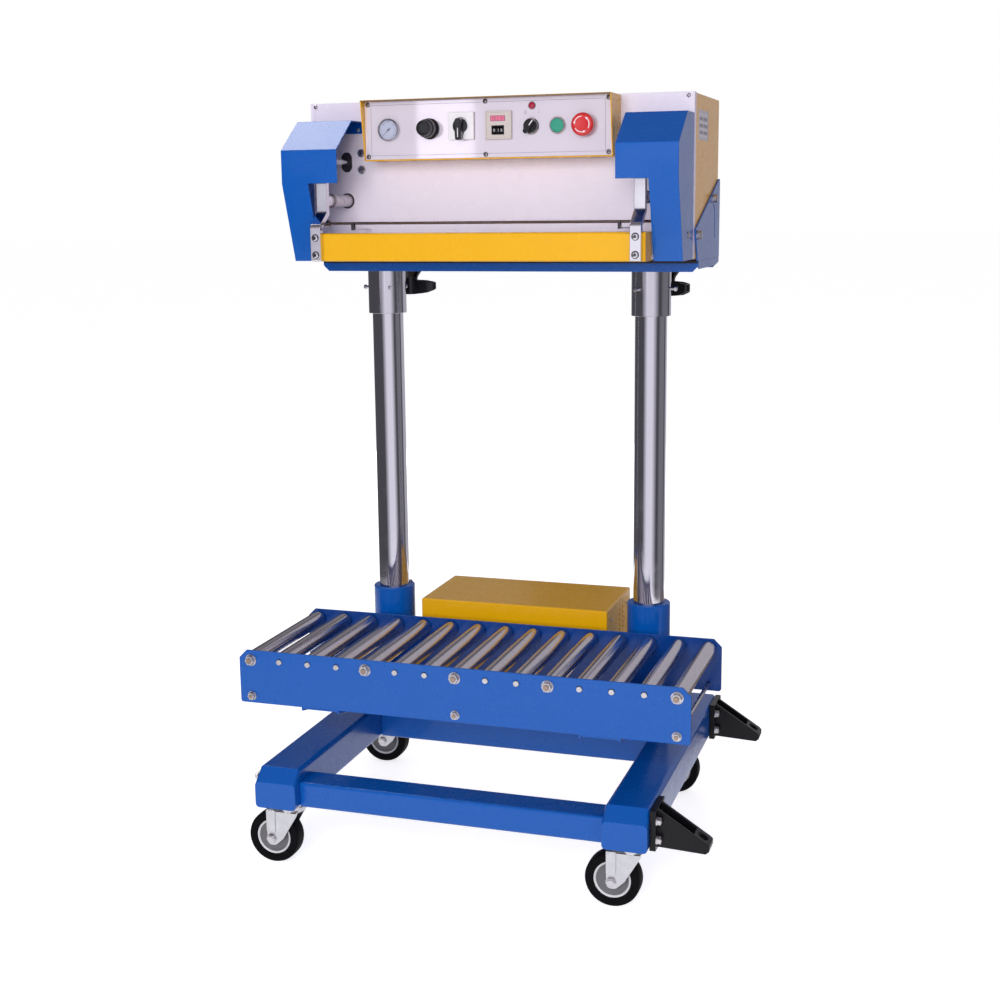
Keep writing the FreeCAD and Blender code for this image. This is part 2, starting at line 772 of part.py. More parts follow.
# Rollers: tubes with end plugs that run on the axles.
for number, x in enumerate(stations(ROLLERS), start=1):
    roller = Piece("roller_%02d" % number)
    front = "table_sheet + roller_gap"
    rear = "table_rear - roller_gap"
    roller.turned("Y", x, "roller_z", [
        ("axle_radius + axle_fit", front),
        ("roller_ring_inner", front),
        ("roller_ring_inner", front + " + roller_ring_depth"),
        ("roller_ring_outer", front + " + roller_ring_depth"),
        ("roller_ring_outer", front),
        ("roller_radius - roller_edge", front),
        ("roller_radius", front + " + roller_edge"),
        ("roller_radius", rear + " - roller_edge"),
        ("roller_radius - roller_edge", rear),
        ("roller_ring_outer", rear),
        ("roller_ring_outer", rear + " - roller_ring_depth"),
        ("roller_ring_inner", rear + " - roller_ring_depth"),
        ("roller_ring_inner", rear),
        ("axle_radius + axle_fit", rear),
        ("axle_radius + axle_fit", rear + " - roller_end"),
        ("roller_radius - roller_wall", rear + " - roller_end"),
        ("roller_radius - roller_wall", front + " + roller_end"),
        ("axle_radius + axle_fit", front + " + roller_end"),
    ])

# Caster plates with the fixed bearing cups.
CASTERS = (
    ("front_left", "-caster_x", "caster_front_y"),
    ("front_right", "caster_x", "caster_front_y"),
    ("rear_left", "-caster_x", "caster_rear_y"),
    ("rear_right", "caster_x", "caster_rear_y"),
)
cups = Piece("caster_plates")
cup_base = "leg_bottom - caster_plate_sheet"
cup_low = cup_base + " - cup_height"
cups.add("Z", cup_base, "leg_bottom",
         *[around(x, y, "caster_plate_x", "caster_plate_y") for _, x, y in CASTERS])
cups.add("Z", cup_low, cup_base, *[disc(x, y, "cup_radius") for _, x, y in CASTERS])
cups.cut("Z", cup_low, cup_base, *[disc(x, y, "king_radius + king_fit") for _, x, y in CASTERS])
cups.cut_both("Z", cup_base, "leg_bottom", *caster_holes)

# Caster forks and wheels.
for place, x, y in CASTERS:
    fork = Piece("fork_frame_" + place, node=False)
    crown = cup_base + " - cup_height - race_gap"
    axle = "(%s) - trail" % x
    fork.add("Z", "fork_top - fork_sheet", "fork_top", disc(x, y, "race_radius"))
    fork.add("Z", "fork_top - fork_sheet", "fork_top",
             box(axle + " - cheek_left", y + " - cheek_inside - cheek_sheet",
                 axle + " + cheek_right", y + " + cheek_inside + cheek_sheet"))
    fork.add("Z", "fork_top", crown, disc(x, y, "race_radius"))
    fork.add("Z", crown, crown + " + king_height", disc(x, y, "king_radius"))
    cheek = [
        (axle + " - cheek_left", "fork_top"),
        (axle + " - cheek_left", "wheel_radius - 6"),
        (axle + " - cheek_left + 6", "wheel_radius - 13"),
        (axle + " + 8", "wheel_radius - 13"),
        (axle + " + 24", "wheel_radius + 2"),
        (axle + " + cheek_right", "fork_top - 6"),
        (axle + " + cheek_right", "fork_top"),
    ]
    fork.add("Y", y + " - cheek_inside - cheek_sheet", y + " - cheek_inside", cheek)
    fork.add("Y", y + " + cheek_inside", y + " + cheek_inside + cheek_sheet", cheek)
    fork.cut("Y", y + " - cheek_inside - cheek_sheet", y + " + cheek_inside + cheek_sheet",
             disc(axle, "wheel_radius", "wheel_axle"))
    outer = "(cheek_inside + cheek_sheet)"
    rib = box(axle + " - cheek_left", "wheel_radius + rib_above", axle + " - cheek_left + rib_width", "fork_top")
    fork.add("Y", "%s - %s - cheek_rib" % (y, outer), "%s - %s" % (y, outer), rib)
    fork.add("Y", "%s + %s" % (y, outer), "%s + %s + cheek_rib" % (y, outer), rib)
    pin = Piece("fork_axle_" + place, node=False)
    pin.add("Y", "%s - %s - wheel_nut_height" % (y, outer), "%s + %s + wheel_nut_height" % (y, outer),
            disc(axle, "wheel_radius", "wheel_axle"))
    pin.add("Y", "%s - %s - wheel_nut_height" % (y, outer), "%s - %s" % (y, outer),
            hexagon(axle, "wheel_radius", "wheel_nut_radius"))
    pin.add("Y", "%s + %s" % (y, outer), "%s + %s + wheel_nut_height" % (y, outer),
            hexagon(axle, "wheel_radius", "wheel_nut_radius"))
    group("caster_fork_" + place, fork, pin)
    tyre = Piece("wheel_tyre_" + place, node=False)
    tyre.turned("Y", axle, "wheel_radius", [
        ("tyre_inside", y + " - rim_half"),
        ("wheel_radius - 5", y + " - tyre_half"),
        ("wheel_radius - 1.5", y + " - tyre_half + 2"),
        ("wheel_radius", y + " - tyre_half + 5"),
        ("wheel_radius", y + " + tyre_half - 5"),
        ("wheel_radius - 1.5", y + " + tyre_half - 2"),
        ("wheel_radius - 5", y + " + tyre_half"),
        ("tyre_inside", y + " + rim_half"),
    ])
    hub = Piece("wheel_hub_" + place, node=False)
    hub.turned("Y", axle, "wheel_radius", [
        ("wheel_axle + wheel_fit", y + " - hub_half"),
        ("hub_radius", y + " - hub_half"),
        ("hub_radius", y + " - disc_half"),
        ("rim_inside", y + " - disc_half"),
        ("rim_inside", y + " - rim_half"),
        ("tyre_inside", y + " - rim_half"),
        ("tyre_inside", y + " + rim_half"),
        ("rim_inside", y + " + rim_half"),
        ("rim_inside", y + " + disc_half"),
        ("hub_radius", y + " + disc_half"),
        ("hub_radius", y + " + hub_half"),
        ("wheel_axle + wheel_fit", y + " + hub_half"),
    ])
    group("caster_wheel_" + place, tyre, hub)

# Foot brackets: flange, sloping arm with an open channel, and a nose with an upright threaded bore.
brackets = Piece("foot_brackets")
for middle in ("bracket_front_y", "bracket_rear_y"):
    flange_end = "leg_outside + bracket_flange"
    brackets.add("X", "leg_outside", flange_end,
                 box(middle + " - bracket_half", "leg_bottom", middle + " + bracket_half", "leg_top"))
    wedge = [
        ("leg_outside", "leg_top"),
        (flange_end, "leg_top - 2"),
        ("bracket_nose_x - 4", "bracket_nose_top"),
        ("bracket_nose_x", "bracket_nose_top - 4"),
        ("bracket_nose_x", "bracket_nose_bottom + 5"),
        ("bracket_nose_x - 6", "bracket_nose_bottom"),
        (flange_end, "leg_bottom + 2"),
        ("leg_outside", "leg_bottom + 2"),
    ]
    brackets.add("Y", middle + " - bracket_arm_half", middle + " + bracket_arm_half", wedge)
    channel = [
        (flange_end, "leg_top + 5"),
        (flange_end, "bracket_channel_floor"),
        ("bracket_channel_end", "bracket_channel_floor"),
        ("bracket_channel_end", "leg_top + 5"),
    ]
    brackets.cut("Y", middle + " - bracket_channel_half", middle + " + bracket_channel_half", channel)
    brackets.cut("Z", "bracket_nose_bottom - 5", "leg_top", disc("bracket_bore_x", middle, "bracket_bore"))
    brackets.cut("Z", "bracket_seat", "leg_top", disc("bracket_bore_x", middle, "bracket_seat_radius"))
    brackets.cut("Z", "bracket_nose_bottom - 5", "bracket_foot",
                 disc("bracket_bore_x", middle, "bracket_seat_radius"))
brackets.cut("X", "leg_outside", "leg_outside + bracket_flange", *bolt_holes)

# Bolts of the frame: brackets, the matching row on the left leg, casters and the socket grub screws.
bolts = Piece("frame_bolts")
face = "leg_outside + bracket_flange"
bolts.add("X", face, face + " + frame_washer_height", *[disc(y, z, "frame_washer") for y, z in bracket_bolts])
bolts.add("X", face + " + frame_washer_height", face + " + frame_washer_height + frame_bolt_head_height",
          *[hexagon(y, z, "frame_bolt_head") for y, z in bracket_bolts])
bolts.add("X", face + " - frame_bolt_length", face, *[disc(y, z, "frame_bolt") for y, z in bracket_bolts])
face = "-leg_outside"
bolts.add("X", face + " - frame_washer_height", face, *[disc(y, z, "frame_washer") for y, z in bracket_bolts])
bolts.add("X", face + " - frame_washer_height - frame_bolt_head_height", face + " - frame_washer_height",
          *[hexagon(y, z, "frame_bolt_head") for y, z in bracket_bolts])
bolts.add("X", face, face + " + frame_bolt_length - bracket_flange",
          *[disc(y, z, "frame_bolt") for y, z in bracket_bolts])
bolts.add_both("Z", cup_base + " - caster_bolt_head_height", cup_base,
               *[hexagon(x, y, "caster_bolt_head") for x, y in caster_bolts])
bolts.add_both("Z", cup_base, cup_base + " + caster_bolt_length",
               *[disc(x, y, "caster_bolt") for x, y in caster_bolts])
bolts.add_both("Z", "socket_top - grub_depth", "socket_top + grub_height",
               *[disc(x, y, "grub_radius") for x, y in grub_spots])

# Transformer box: folded cover with vents, floor plate and the transformer inside.
cover = Piece("power_cover", node=False)
cover_low = "leg_top + box_floor"
cover.add("Z", cover_low, "box_top", box("-box_half", "box_front", "box_half", "box_rear"))
cover.soften("Fillet", "box_sheet * 2", lambda edge: edge.BoundBox.ZMin > SIZES["leg_top"] + 10
             or along(edge, "Z"))
cover.cut("Z", cover_low, "box_top - box_sheet",
          box("-box_half + box_sheet", "box_front + box_sheet", "box_half - box_sheet", "box_rear - box_sheet"))
vents = []
for y in ("vent_front", "vent_rear"):
    for n in range(5):
        vents.append(around(y, "(vent_top - vent_pitch * %d)" % n, "vent_size / 2", "vent_size / 2"))
cover.cut_sides("box_half - box_sheet", "box_half", *vents)
floor = Piece("power_floor", node=False)
floor.add("Z", "leg_top", cover_low, box("-box_half", "box_front", "box_half", "box_rear"))
core = Piece("power_core", node=False)
core.add("Z", cover_low, cover_low + " + core_height", box("-core_half", "core_front", "core_half", "core_rear"))
core.cut("Y", "core_front", "core_rear",
         box("-coil_half", "coil_bottom", "coil_half", "coil_top"))
coil = Piece("power_coil", node=False)
coil.add("Y", "coil_front", "coil_rear", box("-coil_half", "coil_bottom", "coil_half", "coil_top"))
group("power_box", cover, floor, core, coil)

# Head tray: shelf with turned-down edges and clipped lower corners.
tray = Piece("head_tray")
tray_low = "tray_top - tray_sheet"
tray_plan = box("-tray_half", "tray_front", "tray_half", "tray_rear")
tray.add("Z", tray_low, "tray_top", tray_plan)
tray_edge = [
    ("-tray_half", "tray_top"),
    ("-tray_half", "tray_bottom + tray_cut"),
    ("-tray_half + tray_cut", "tray_bottom"),
    ("tray_half - tray_cut", "tray_bottom"),
    ("tray_half", "tray_bottom + tray_cut"),
    ("tray_half", "tray_top"),
]
tray.add("Y", "tray_front", "tray_front + tray_sheet", tray_edge)
tray.add("Y", "tray_rear - tray_sheet", "tray_rear", tray_edge)
tray.add_sides("tray_half - tray_sheet", "tray_half", [
    ("tray_front", "tray_top"),
    ("tray_front", "tray_bottom + tray_cut"),
    ("tray_front + tray_cut", "tray_top - tray_side_drop"),
    ("tray_rear - tray_side_cut", "tray_top - tray_side_drop"),
    ("tray_rear", "tray_bottom + tray_cut"),
    ("tray_rear", "tray_top"),
])
tray.cut_both("Z", tray_low, "tray_top", disc("column_x", "column_y", "column_radius + tray_column_play"))
levers = (("left_clamp_lever", "lever_dx - column_x", 0), ("right_clamp_lever", "lever_dx + column_x", -30))

# Side gussets with the curved path of the tilt slot.
gussets = Piece("side_gussets")
gusset_outline = [
    ("tray_rear", "plate_bottom + 138"),
    ("tray_rear - 3", "plate_bottom + 143"),
    ("tray_rear - 12", "plate_bottom + 141"),
    ("plate_front + 10", "plate_bottom + 52"),
    ("plate_front + 14", "plate_bottom + 40"),
    ("plate_front + 33", "tray_top"),
    ("tray_rear", "tray_top"),
]
gusset_slot = [
    ("gusset_bolt_a_y + 4", "gusset_bolt_a_z - 12"),
    ("gusset_bolt_a_y + 14", "gusset_bolt_a_z - 22"),
    ("gusset_bolt_a_y + 17", "gusset_bolt_a_z - 72"),
    ("gusset_bolt_a_y + 21.5", "gusset_bolt_a_z - 72"),
    ("gusset_bolt_a_y + 18.5", "gusset_bolt_a_z - 20"),
    ("gusset_bolt_a_y + 7", "gusset_bolt_a_z - 9"),
]
gusset_bolts = [("gusset_bolt_a_y", "gusset_bolt_a_z"), ("gusset_bolt_b_y", "gusset_bolt_b_z")]
gusset_out = "shroud_outside + gusset_sheet"
gussets.add_sides("shroud_outside", gusset_out, gusset_outline)
gussets.cut_sides("shroud_outside", gusset_out, gusset_slot,
                  *[disc(y, z, "frame_bolt + gusset_bolt_play") for y, z in gusset_bolts])

# Sleeves that guide the head on the columns, three screws each at a third of a turn.
sleeves = Piece("column_sleeves")
sleeves.add_both("Z", "sleeve_bottom", tray_low, disc("column_x", "column_y", "sleeve_radius"))
sleeves.soften("Chamfer", "sleeve_edge", lambda edge: edge.BoundBox.ZMax < SIZES["sleeve_bottom"] + 1)
sleeves.cut_both("Z", "sleeve_bottom", tray_low, disc("column_x", "column_y", "column_radius + sleeve_fit"))
SCREW_ANGLES = (("column_x", (0, 120, 240)), ("-column_x", (180, 60, 300)))
for x, angles in SCREW_ANGLES:
    for angle in angles:
        sleeves.aimed("Pocket", angle, x, "column_y", "sleeve_screw_z", "column_radius - 3",
                      "sleeve_radius - column_radius + 6", "sleeve_screw + sleeve_screw_play")

# Front plate with turned-back sides, oval holes for the rods and round holes for the pivots.
front = Piece("front_plate")
plate_back = "plate_front + plate_sheet"
front.add("Y", "plate_front", plate_back, box("-plate_half", "plate_bottom", "plate_half", "plate_top"))
front.add_sides("plate_half - plate_sheet", "plate_half",
                box("plate_front", "plate_bottom", plate_back + " + plate_flange", "plate_top"))
oval = [
    ("arm_x + oval_half_x", "rod_z + oval_half_z - 8"),
    ("arm_x + oval_half_x - 3", "rod_z + oval_half_z - 3"),
    ("arm_x + 4", "rod_z + oval_half_z"),
    ("arm_x - 4", "rod_z + oval_half_z"),
    ("arm_x - oval_half_x + 3", "rod_z + oval_half_z - 3"),
    ("arm_x - oval_half_x", "rod_z + oval_half_z - 8"),
    ("arm_x - oval_half_x", "rod_z - oval_half_z + 8"),
    ("arm_x - oval_half_x + 3", "rod_z - oval_half_z + 3"),
    ("arm_x - 4", "rod_z - oval_half_z"),
    ("arm_x + 4", "rod_z - oval_half_z"),
    ("arm_x + oval_half_x - 3", "rod_z - oval_half_z + 3"),
    ("arm_x + oval_half_x", "rod_z - oval_half_z + 8"),
]
plate_bolts = [("plate_bolt_x", "plate_bolt_a_z"), ("plate_bolt_x", "plate_bolt_b_z")]
plate_corners = [("plate_corner_x", "plate_corner_z")]
shroud_roof = "plate_top - shroud_drop"
tab_bolt_z = shroud_roof + " - tab_bolt_drop"
front.cut_both("Y", "plate_front", plate_back, oval, disc("arm_x", "pivot_z", "pivot_hole"),
               disc("tab_bolt_x", tab_bolt_z, "small_shank + sleeve_screw_play"),
               *[disc(x, z, "small_shank + sleeve_screw_play") for x, z in plate_corners])
front.cut_both("Y", "plate_front", plate_back,
               *[disc(x, z, "arm_bolt + sleeve_screw_play") for x, z in plate_bolts])

# Rear cover: back, sides and roof folded from one sheet, with a blank plate on its right side.
hood = Piece("hood_shell", node=False)
hood_front = plate_back + " + plate_flange + cover_gap"
hood.add("Z", "plate_bottom", "cover_top", box("-cover_half", hood_front, "cover_half", "cover_rear"))
hood.soften("Fillet", "cover_corner", lambda edge: (along(edge, "Z") or along(edge, "X"))
            and edge.CenterOfMass.y > SIZES["cover_rear"] - 1 and edge.CenterOfMass.z > SIZES["plate_bottom"] + 1)
hood.cut("Z", "plate_bottom - 1", "cover_top - cover_sheet",
         box("-cover_half + cover_sheet", hood_front, "cover_half - cover_sheet", "cover_rear - cover_sheet"))
hood.cut_sides("cover_half - cover_sheet", "cover_half",
               *[disc(y, z, "frame_bolt + gusset_bolt_play") for y, z in gusset_bolts])
label = Piece("hood_label", node=False)
label.add("X", "cover_half", "cover_half + label_sheet",
          box("label_y", "label_z - label_half", "label_y + label_width", "label_z + label_half"))
group("head_cover", hood, label)

# Arm shrouds: folded hood, tapered leg and fixing tab on each side.
shrouds = Piece("arm_shrouds")
fold = [
    ("plate_front", shroud_roof),
    ("shroud_top_front", shroud_roof),
    ("shroud_front", "shroud_high"),
    ("shroud_front", "shroud_low"),
    ("shroud_front + shroud_sheet", "shroud_low"),
    ("shroud_front + shroud_sheet", "shroud_high - shroud_sheet * 0.5"),
    ("shroud_top_front + shroud_sheet * 0.4", shroud_roof + " - shroud_sheet"),
    ("plate_front", shroud_roof + " - shroud_sheet"),
]
shrouds.add_sides("shroud_inside", "shroud_outside", fold)
leg_strip = [
    ("shroud_front", "shroud_low + 1"),
    ("shroud_front", "shroud_low"),
    ("shroud_foot", "plate_bottom"),
    ("shroud_foot + shroud_sheet * 1.05", "plate_bottom"),
    ("shroud_front + shroud_sheet", "shroud_low"),
    ("shroud_front + shroud_sheet", "shroud_low + 1"),
]
shrouds.add_sides("shroud_leg_inside", "shroud_outside", leg_strip)
shrouds.add_sides("shroud_outside - shroud_sheet", "shroud_outside", [
    ("plate_front", "plate_bottom"),
    ("shroud_foot", "plate_bottom"),
    ("shroud_front", "shroud_low"),
    ("shroud_front", "shroud_high"),
    ("shroud_top_front", shroud_roof),
    ("plate_front", shroud_roof),
])
shrouds.add_both("Y", "plate_front - shroud_sheet", "plate_front",
                 box("tab_inside", shroud_roof + " - tab_height", "tab_outside", shroud_roof))
shrouds.cut_both("Y", "plate_front - shroud_sheet", "plate_front",
                 disc("tab_bolt_x", tab_bolt_z, "small_shank + sleeve_screw_play"))

# Control box: visor frame with a lip behind the panel.
control = Piece("control_box")
control_side = [
    ("plate_front", "control_top"),
    ("control_top_front", "control_top"),
    ("control_low_front", "control_bottom"),
    ("plate_front", "control_bottom"),
]
control.add_sides("control_half - control_sheet", "control_half", control_side)
control.add("Z", "control_top - control_sheet", "control_top",
            box("-control_half", "control_top_front", "control_half", "plate_front"))
control.add("Z", "control_bottom", "control_bottom + control_sheet",
            box("-control_half", "control_low_front", "control_half", "plate_front"))
panel_back = "panel_front + panel_sheet"
control.add("Y", panel_back, panel_back + " + control_sheet",
            box("-control_half", "control_bottom", "control_half", "control_top"))
control.cut("Y", panel_back, panel_back + " + control_sheet",
            box("-control_half + control_lip", "control_bottom + control_lip",
                "control_half - control_lip", "control_top - control_lip"))
panel_screws = [(x, z) for x in ("-panel_screw_x", "0", "panel_screw_x")
                for z in ("panel_screw_low", "panel_screw_high")]
screw_holes = [disc(x, z, "small_shank + sleeve_screw_play") for x, z in panel_screws]
control.cut("Y", panel_back, panel_back + " + control_sheet", *screw_holes)

# Control panel with the openings of its instruments.
panel = Piece("control_panel")
panel.add("Y", "panel_front", panel_back,
          box("-control_half + control_sheet + panel_play", "control_bottom + control_sheet + panel_play",
              "control_half - control_sheet - panel_play", "control_top - control_sheet - panel_play"))
panel.soften("Fillet", "panel_sheet", lambda edge: along(edge, "Y"))
panel.cut("Y", "panel_front", panel_back, *screw_holes)
panel.cut("Y", "panel_front", panel_back,
          disc("gauge_x", "instrument_z", "gauge_radius - gauge_rim + panel_play"),
          around("timer_x", "timer_z", "timer_half - 2 + panel_play", "timer_half - 2 + panel_play"),
          *[disc(x, z, "instrument_hole") for x, z in (("regulator_x", "instrument_z"), ("cam_x", "cam_z"),
            ("selector_x", "instrument_z"), ("start_x", "instrument_z"), ("stop_x", "instrument_z"))])
panel.cut("Y", "panel_front", panel_back, disc("lamp_x", "lamp_z", "lamp_radius - 2"))

# Fixed parts of the instruments.
gauge = Piece("gauge_case", node=False)
gauge.turned("Y", "gauge_x", "instrument_z", [
    ("0", "panel_front + gauge_in"),
    ("0", "panel_front - gauge_out + 5"),
    ("gauge_radius - gauge_rim", "panel_front - gauge_out + 5"),
    ("gauge_radius - gauge_rim", "panel_front - gauge_out + 0.6"),
    ("gauge_radius - gauge_rim + 0.8", "panel_front - gauge_out"),
    ("gauge_radius - 0.8", "panel_front - gauge_out"),
    ("gauge_radius", "panel_front - gauge_out + 1"),
    ("gauge_radius", "panel_front"),
    ("gauge_radius - gauge_rim", "panel_front"),
    ("gauge_radius - gauge_rim", "panel_front + gauge_in"),
])
needle = Piece("gauge_needle", node=False)
needle.add("Y", "panel_front - gauge_out + 2.6", "panel_front - gauge_out + 3.4", [
    ("gauge_x - 9", "instrument_z - 9.8"),
    ("gauge_x - 8.6", "instrument_z - 10.2"),
    ("gauge_x + 5", "instrument_z + 2.6"),
    ("gauge_x + 3", "instrument_z + 4.6"),
])
needle.add("Y", "panel_front - gauge_out + 2.4", "panel_front - gauge_out + 5",
           disc("gauge_x", "instrument_z", "2"))
glass = Piece("gauge_glass", node=False)
glass.add("Y", "panel_front - gauge_out + 0.9", "panel_front - gauge_out + 1.7",
          disc("gauge_x", "instrument_z", "gauge_radius - gauge_rim"))


def fitting(name, x, z, loops):
    """A flange in front of the panel, a body behind it and a bore for the moving spindle."""
    part = Piece(name, node=False)
    for start, end, loop in loops:
        part.add("Y", start, end, loop)
    part.add("Y", "panel_front", "panel_front + instrument_back", disc(x, z, "instrument_body"))
    part.cut("Y", "panel_front - gauge_in", "panel_front + instrument_back - 4",
             disc(x, z, "spindle + spindle_fit"))
    return part


regulator = fitting("regulator_collar", "regulator_x", "instrument_z", [
    ("panel_front - regulator_collar", "panel_front", disc("regulator_x", "instrument_z", "regulator_radius"))])
cam = fitting("cam_plate", "cam_x", "cam_z", [
    ("panel_front - cam_out", "panel_front", around("cam_x", "cam_z", "cam_half", "cam_half"))])
bezels = [fitting(name + "_bezel", x, "instrument_z", [
    ("panel_front - " + out, "panel_front", disc(x, "instrument_z", "bezel_radius"))])
    for name, x, out in (("selector", "selector_x", "bezel_out"), ("start", "start_x", "start_guard"),
                         ("stop", "stop_x", "bezel_out"))]
bezels[1].cut("Y", "panel_front - start_guard", "panel_front - bezel_out",
              disc("start_x", "instrument_z", "start_well"))
lamp = Piece("pilot_lamp", node=False)
lamp.add("Y", "panel_front - 2", "panel_front", disc("lamp_x", "lamp_z", "lamp_radius"))
lamp.add("Y", "panel_front - 5", "panel_front - 2", disc("lamp_x", "lamp_z", "lamp_radius - 1.2"))
lamp.soften("Fillet", "1.6", lambda edge: edge.BoundBox.YMax < SIZES["panel_front"] - 4.9)
lamp.add("Y", "panel_front", "panel_front + 20", disc("lamp_x", "lamp_z", "lamp_radius - 2.2"))
timer = Piece("timer_case", node=False)
timer.add("Y", "panel_front - timer_out", "panel_front", around("timer_x", "timer_z", "timer_half", "timer_half"))
timer.soften("Fillet", "1", lambda edge: along(edge, "Y"))
timer.add("Y", "panel_front", "panel_front + timer_depth",
          around("timer_x", "timer_z", "timer_half - 2", "timer_half - 2"))
timer.cut("Y", "panel_front - timer_out", "panel_front - timer_out + 1.2",
          around("timer_x - 1", "display_z", "display_half_x", "display_half_z"))
timer.cut("Y", "panel_front - timer_out", "panel_front + 8",
          around("timer_x - 1", "window_z", "window_half_x", "window_half_z"))
timer.cut("X", "timer_x - 1 - window_half_x - 5", "timer_x - 1 + window_half_x + 5",
          disc("panel_front - timer_out + wheel_centre", "window_z", "thumb_axle + thumb_fit"))
group("panel_instruments", gauge, needle, glass, regulator, cam, *bezels, lamp, timer)

# Fixed jaw: bar on three posts, heating band, tape rod with its collar and hooks.
fixed = Piece("fixed_bar", node=False)
fixed.add("X", "-bar_half", "bar_half", [
    ("fixed_front", "fixed_low"),
    ("fixed_front", "fixed_slot_low"),
    ("fixed_front + fixed_slot_depth", "fixed_slot_low"),
    ("fixed_front + fixed_slot_depth", "fixed_slot_high"),
    ("fixed_front", "fixed_slot_high"),
    ("fixed_front", "fixed_high"),
    ("fixed_rear", "fixed_high"),
    ("fixed_rear", "fixed_low"),
])
insert = Piece("fixed_insert", node=False)
insert.add("X", "-bar_half", "bar_half",
           box("fixed_front", "fixed_slot_low", "fixed_front + fixed_slot_depth", "fixed_slot_high"))
posts = Piece("fixed_posts", node=False)
posts.add("Y", "fixed_rear", "plate_front",
          *[disc(x, "(fixed_low + fixed_high) / 2", "post_radius") for x in ("-post_x * 2", "0", "post_x * 2")])
band = Piece("heating_band", node=False)
band.add("X", "-bar_half + 4", "bar_half - 4",
         box("fixed_front - band_sheet", "band_low", "fixed_front", "band_high"))
rod = Piece("tape_rod", node=False)
rod.add("X", "-tape_half", "tape_half", disc("tape_y", "tape_z", "tape_radius"))
rod.add("X", "-tape_collar_x - tape_collar_half", "-tape_collar_x + tape_collar_half",
        disc("tape_y", "tape_z", "tape_collar_radius"))
hooks = Piece("tape_hooks", node=False)
hooks.add_sides("hook_x - hook_half", "hook_x + hook_half", [
    ("plate_front", "tape_z - 5"),
    ("plate_front", "tape_z + 9"),
    ("plate_front - 3", "tape_z + 9"),
    ("plate_front - 3", "tape_z - 1"),
    ("tape_y + tape_radius + 3", "tape_z - 1"),
    ("tape_y + tape_radius + 3", "tape_z + 4"),
    ("tape_y + tape_radius", "tape_z + 4"),
    ("tape_y + tape_radius", "tape_z - tape_radius"),
    ("tape_y - tape_radius", "tape_z - tape_radius"),
    ("tape_y - tape_radius", "tape_z + 4"),
    ("tape_y - tape_radius - 3", "tape_z + 4"),
    ("tape_y - tape_radius - 3", "tape_z - 5"),
])
group("fixed_jaw", fixed, insert, posts, band, rod, hooks)

# Air cylinders behind the front plate.
cylinders = Piece("air_cylinders")
cylinders.add_both("Y", plate_back, "cylinder_rear", around("arm_x", "rod_z", "cylinder_half", "cylinder_half"))
cylinders.soften("Fillet", "plate_sheet", lambda edge: along(edge, "Y"))
cylinders.cut_both("Y", plate_back, plate_back + " + cylinder_nose", disc("arm_x", "rod_z", "rod_radius + rod_fit"))
cylinders.cut_both("Y", plate_back + " + cylinder_nose", "cylinder_rear - cylinder_cap",
                   disc("arm_x", "rod_z", "cylinder_bore"))

# Pivot blocks: round bars flanged behind the plate with a tongue at the front.
pivots = Piece("pivot_blocks")
pivots.add_both("Y", plate_back, plate_back + " + pivot_flange",
                around("arm_x", "pivot_z", "pivot_flange_half", "pivot_flange_half"))
pivots.add_both("Y", "pivot_bar_front", plate_back, disc("arm_x", "pivot_z", "pivot_bar"))
pivots.add_sides("arm_x - tongue_half", "arm_x + tongue_half", disc("pivot_y", "pivot_z", "tongue_radius"))
pivots.add_sides("arm_x - tongue_half", "arm_x + tongue_half",
                 box("pivot_y", "pivot_z - tongue_radius", "pivot_bar_front + 4", "pivot_z + tongue_radius"))
pivots.cut_sides("arm_x - tongue_half", "arm_x + tongue_half", disc("pivot_y", "pivot_z", "pin_radius + pin_fit"))

# Swing arms with their lugs, pivot pins and the bolts of the jaw.
arms = Piece("swing_arm_bars", node=False)
arms.add_sides("arm_x - arm_half", "arm_x + arm_half", [
    ("arm_high_front", "arm_top"),
    ("arm_high_front", "arm_crank_high"),
    ("arm_low_front", "arm_crank_low"),
    ("arm_low_front", "arm_foot"),
    ("arm_low_front + arm_thick", "arm_foot"),
    ("arm_low_front + arm_thick", "arm_crank_low - 5"),
    ("arm_high_front + arm_thick", "arm_crank_high - 5"),
    ("arm_high_front + arm_thick", "arm_top"),
])
arms.soften("Fillet", "arm_corner", lambda edge: along(edge, "Y")
            and (edge.CenterOfMass.z > SIZES["arm_top"] - 1 or edge.CenterOfMass.z < SIZES["arm_foot"] + 1))
for height in ("pivot_z", "rod_z"):
    for start, end in (("arm_x - arm_half", "arm_x - lug_inside"), ("arm_x + lug_inside", "arm_x + arm_half")):
        arms.add_sides(start, end, disc("pivot_y", height, "lug_radius"))
        arms.add_sides(start, end, box("arm_high_front + 2", height + " - lug_radius", "pivot_y",
                                       height + " + lug_radius"))
    arms.cut_sides("arm_x - arm_half", "arm_x + arm_half", disc("pivot_y", height, "pin_radius"))
arms.cut_both("Y", "arm_low_front", "arm_low_front + arm_thick", disc("arm_x", "arm_bolt_high", "arm_bolt"),
              disc("arm_x", "arm_bolt_low", "arm_bolt"))
pins = Piece("swing_pins", node=False)
pins.add_sides("arm_x - arm_half", "arm_x + arm_half", disc("pivot_y", "pivot_z", "pin_radius"))
pins.add_sides("arm_x - arm_half", "arm_x + arm_half", disc("pivot_y", "rod_z", "pin_radius"))
arm_bolts = Piece("swing_bolts", node=False)
arm_bolts.add_both("Y", "arm_low_front - arm_bolt_head_height", "arm_low_front",
                   disc("arm_x", "arm_bolt_high", "arm_bolt_head"), disc("arm_x", "arm_bolt_low", "arm_bolt_head"))
arm_bolts.cut_both("Y", "arm_low_front - arm_bolt_head_height", "arm_low_front - 1.6",
                   hexagon("arm_x", "arm_bolt_high", "arm_bolt_head * 0.5"),
                   hexagon("arm_x", "arm_bolt_low", "arm_bolt_head * 0.5"))
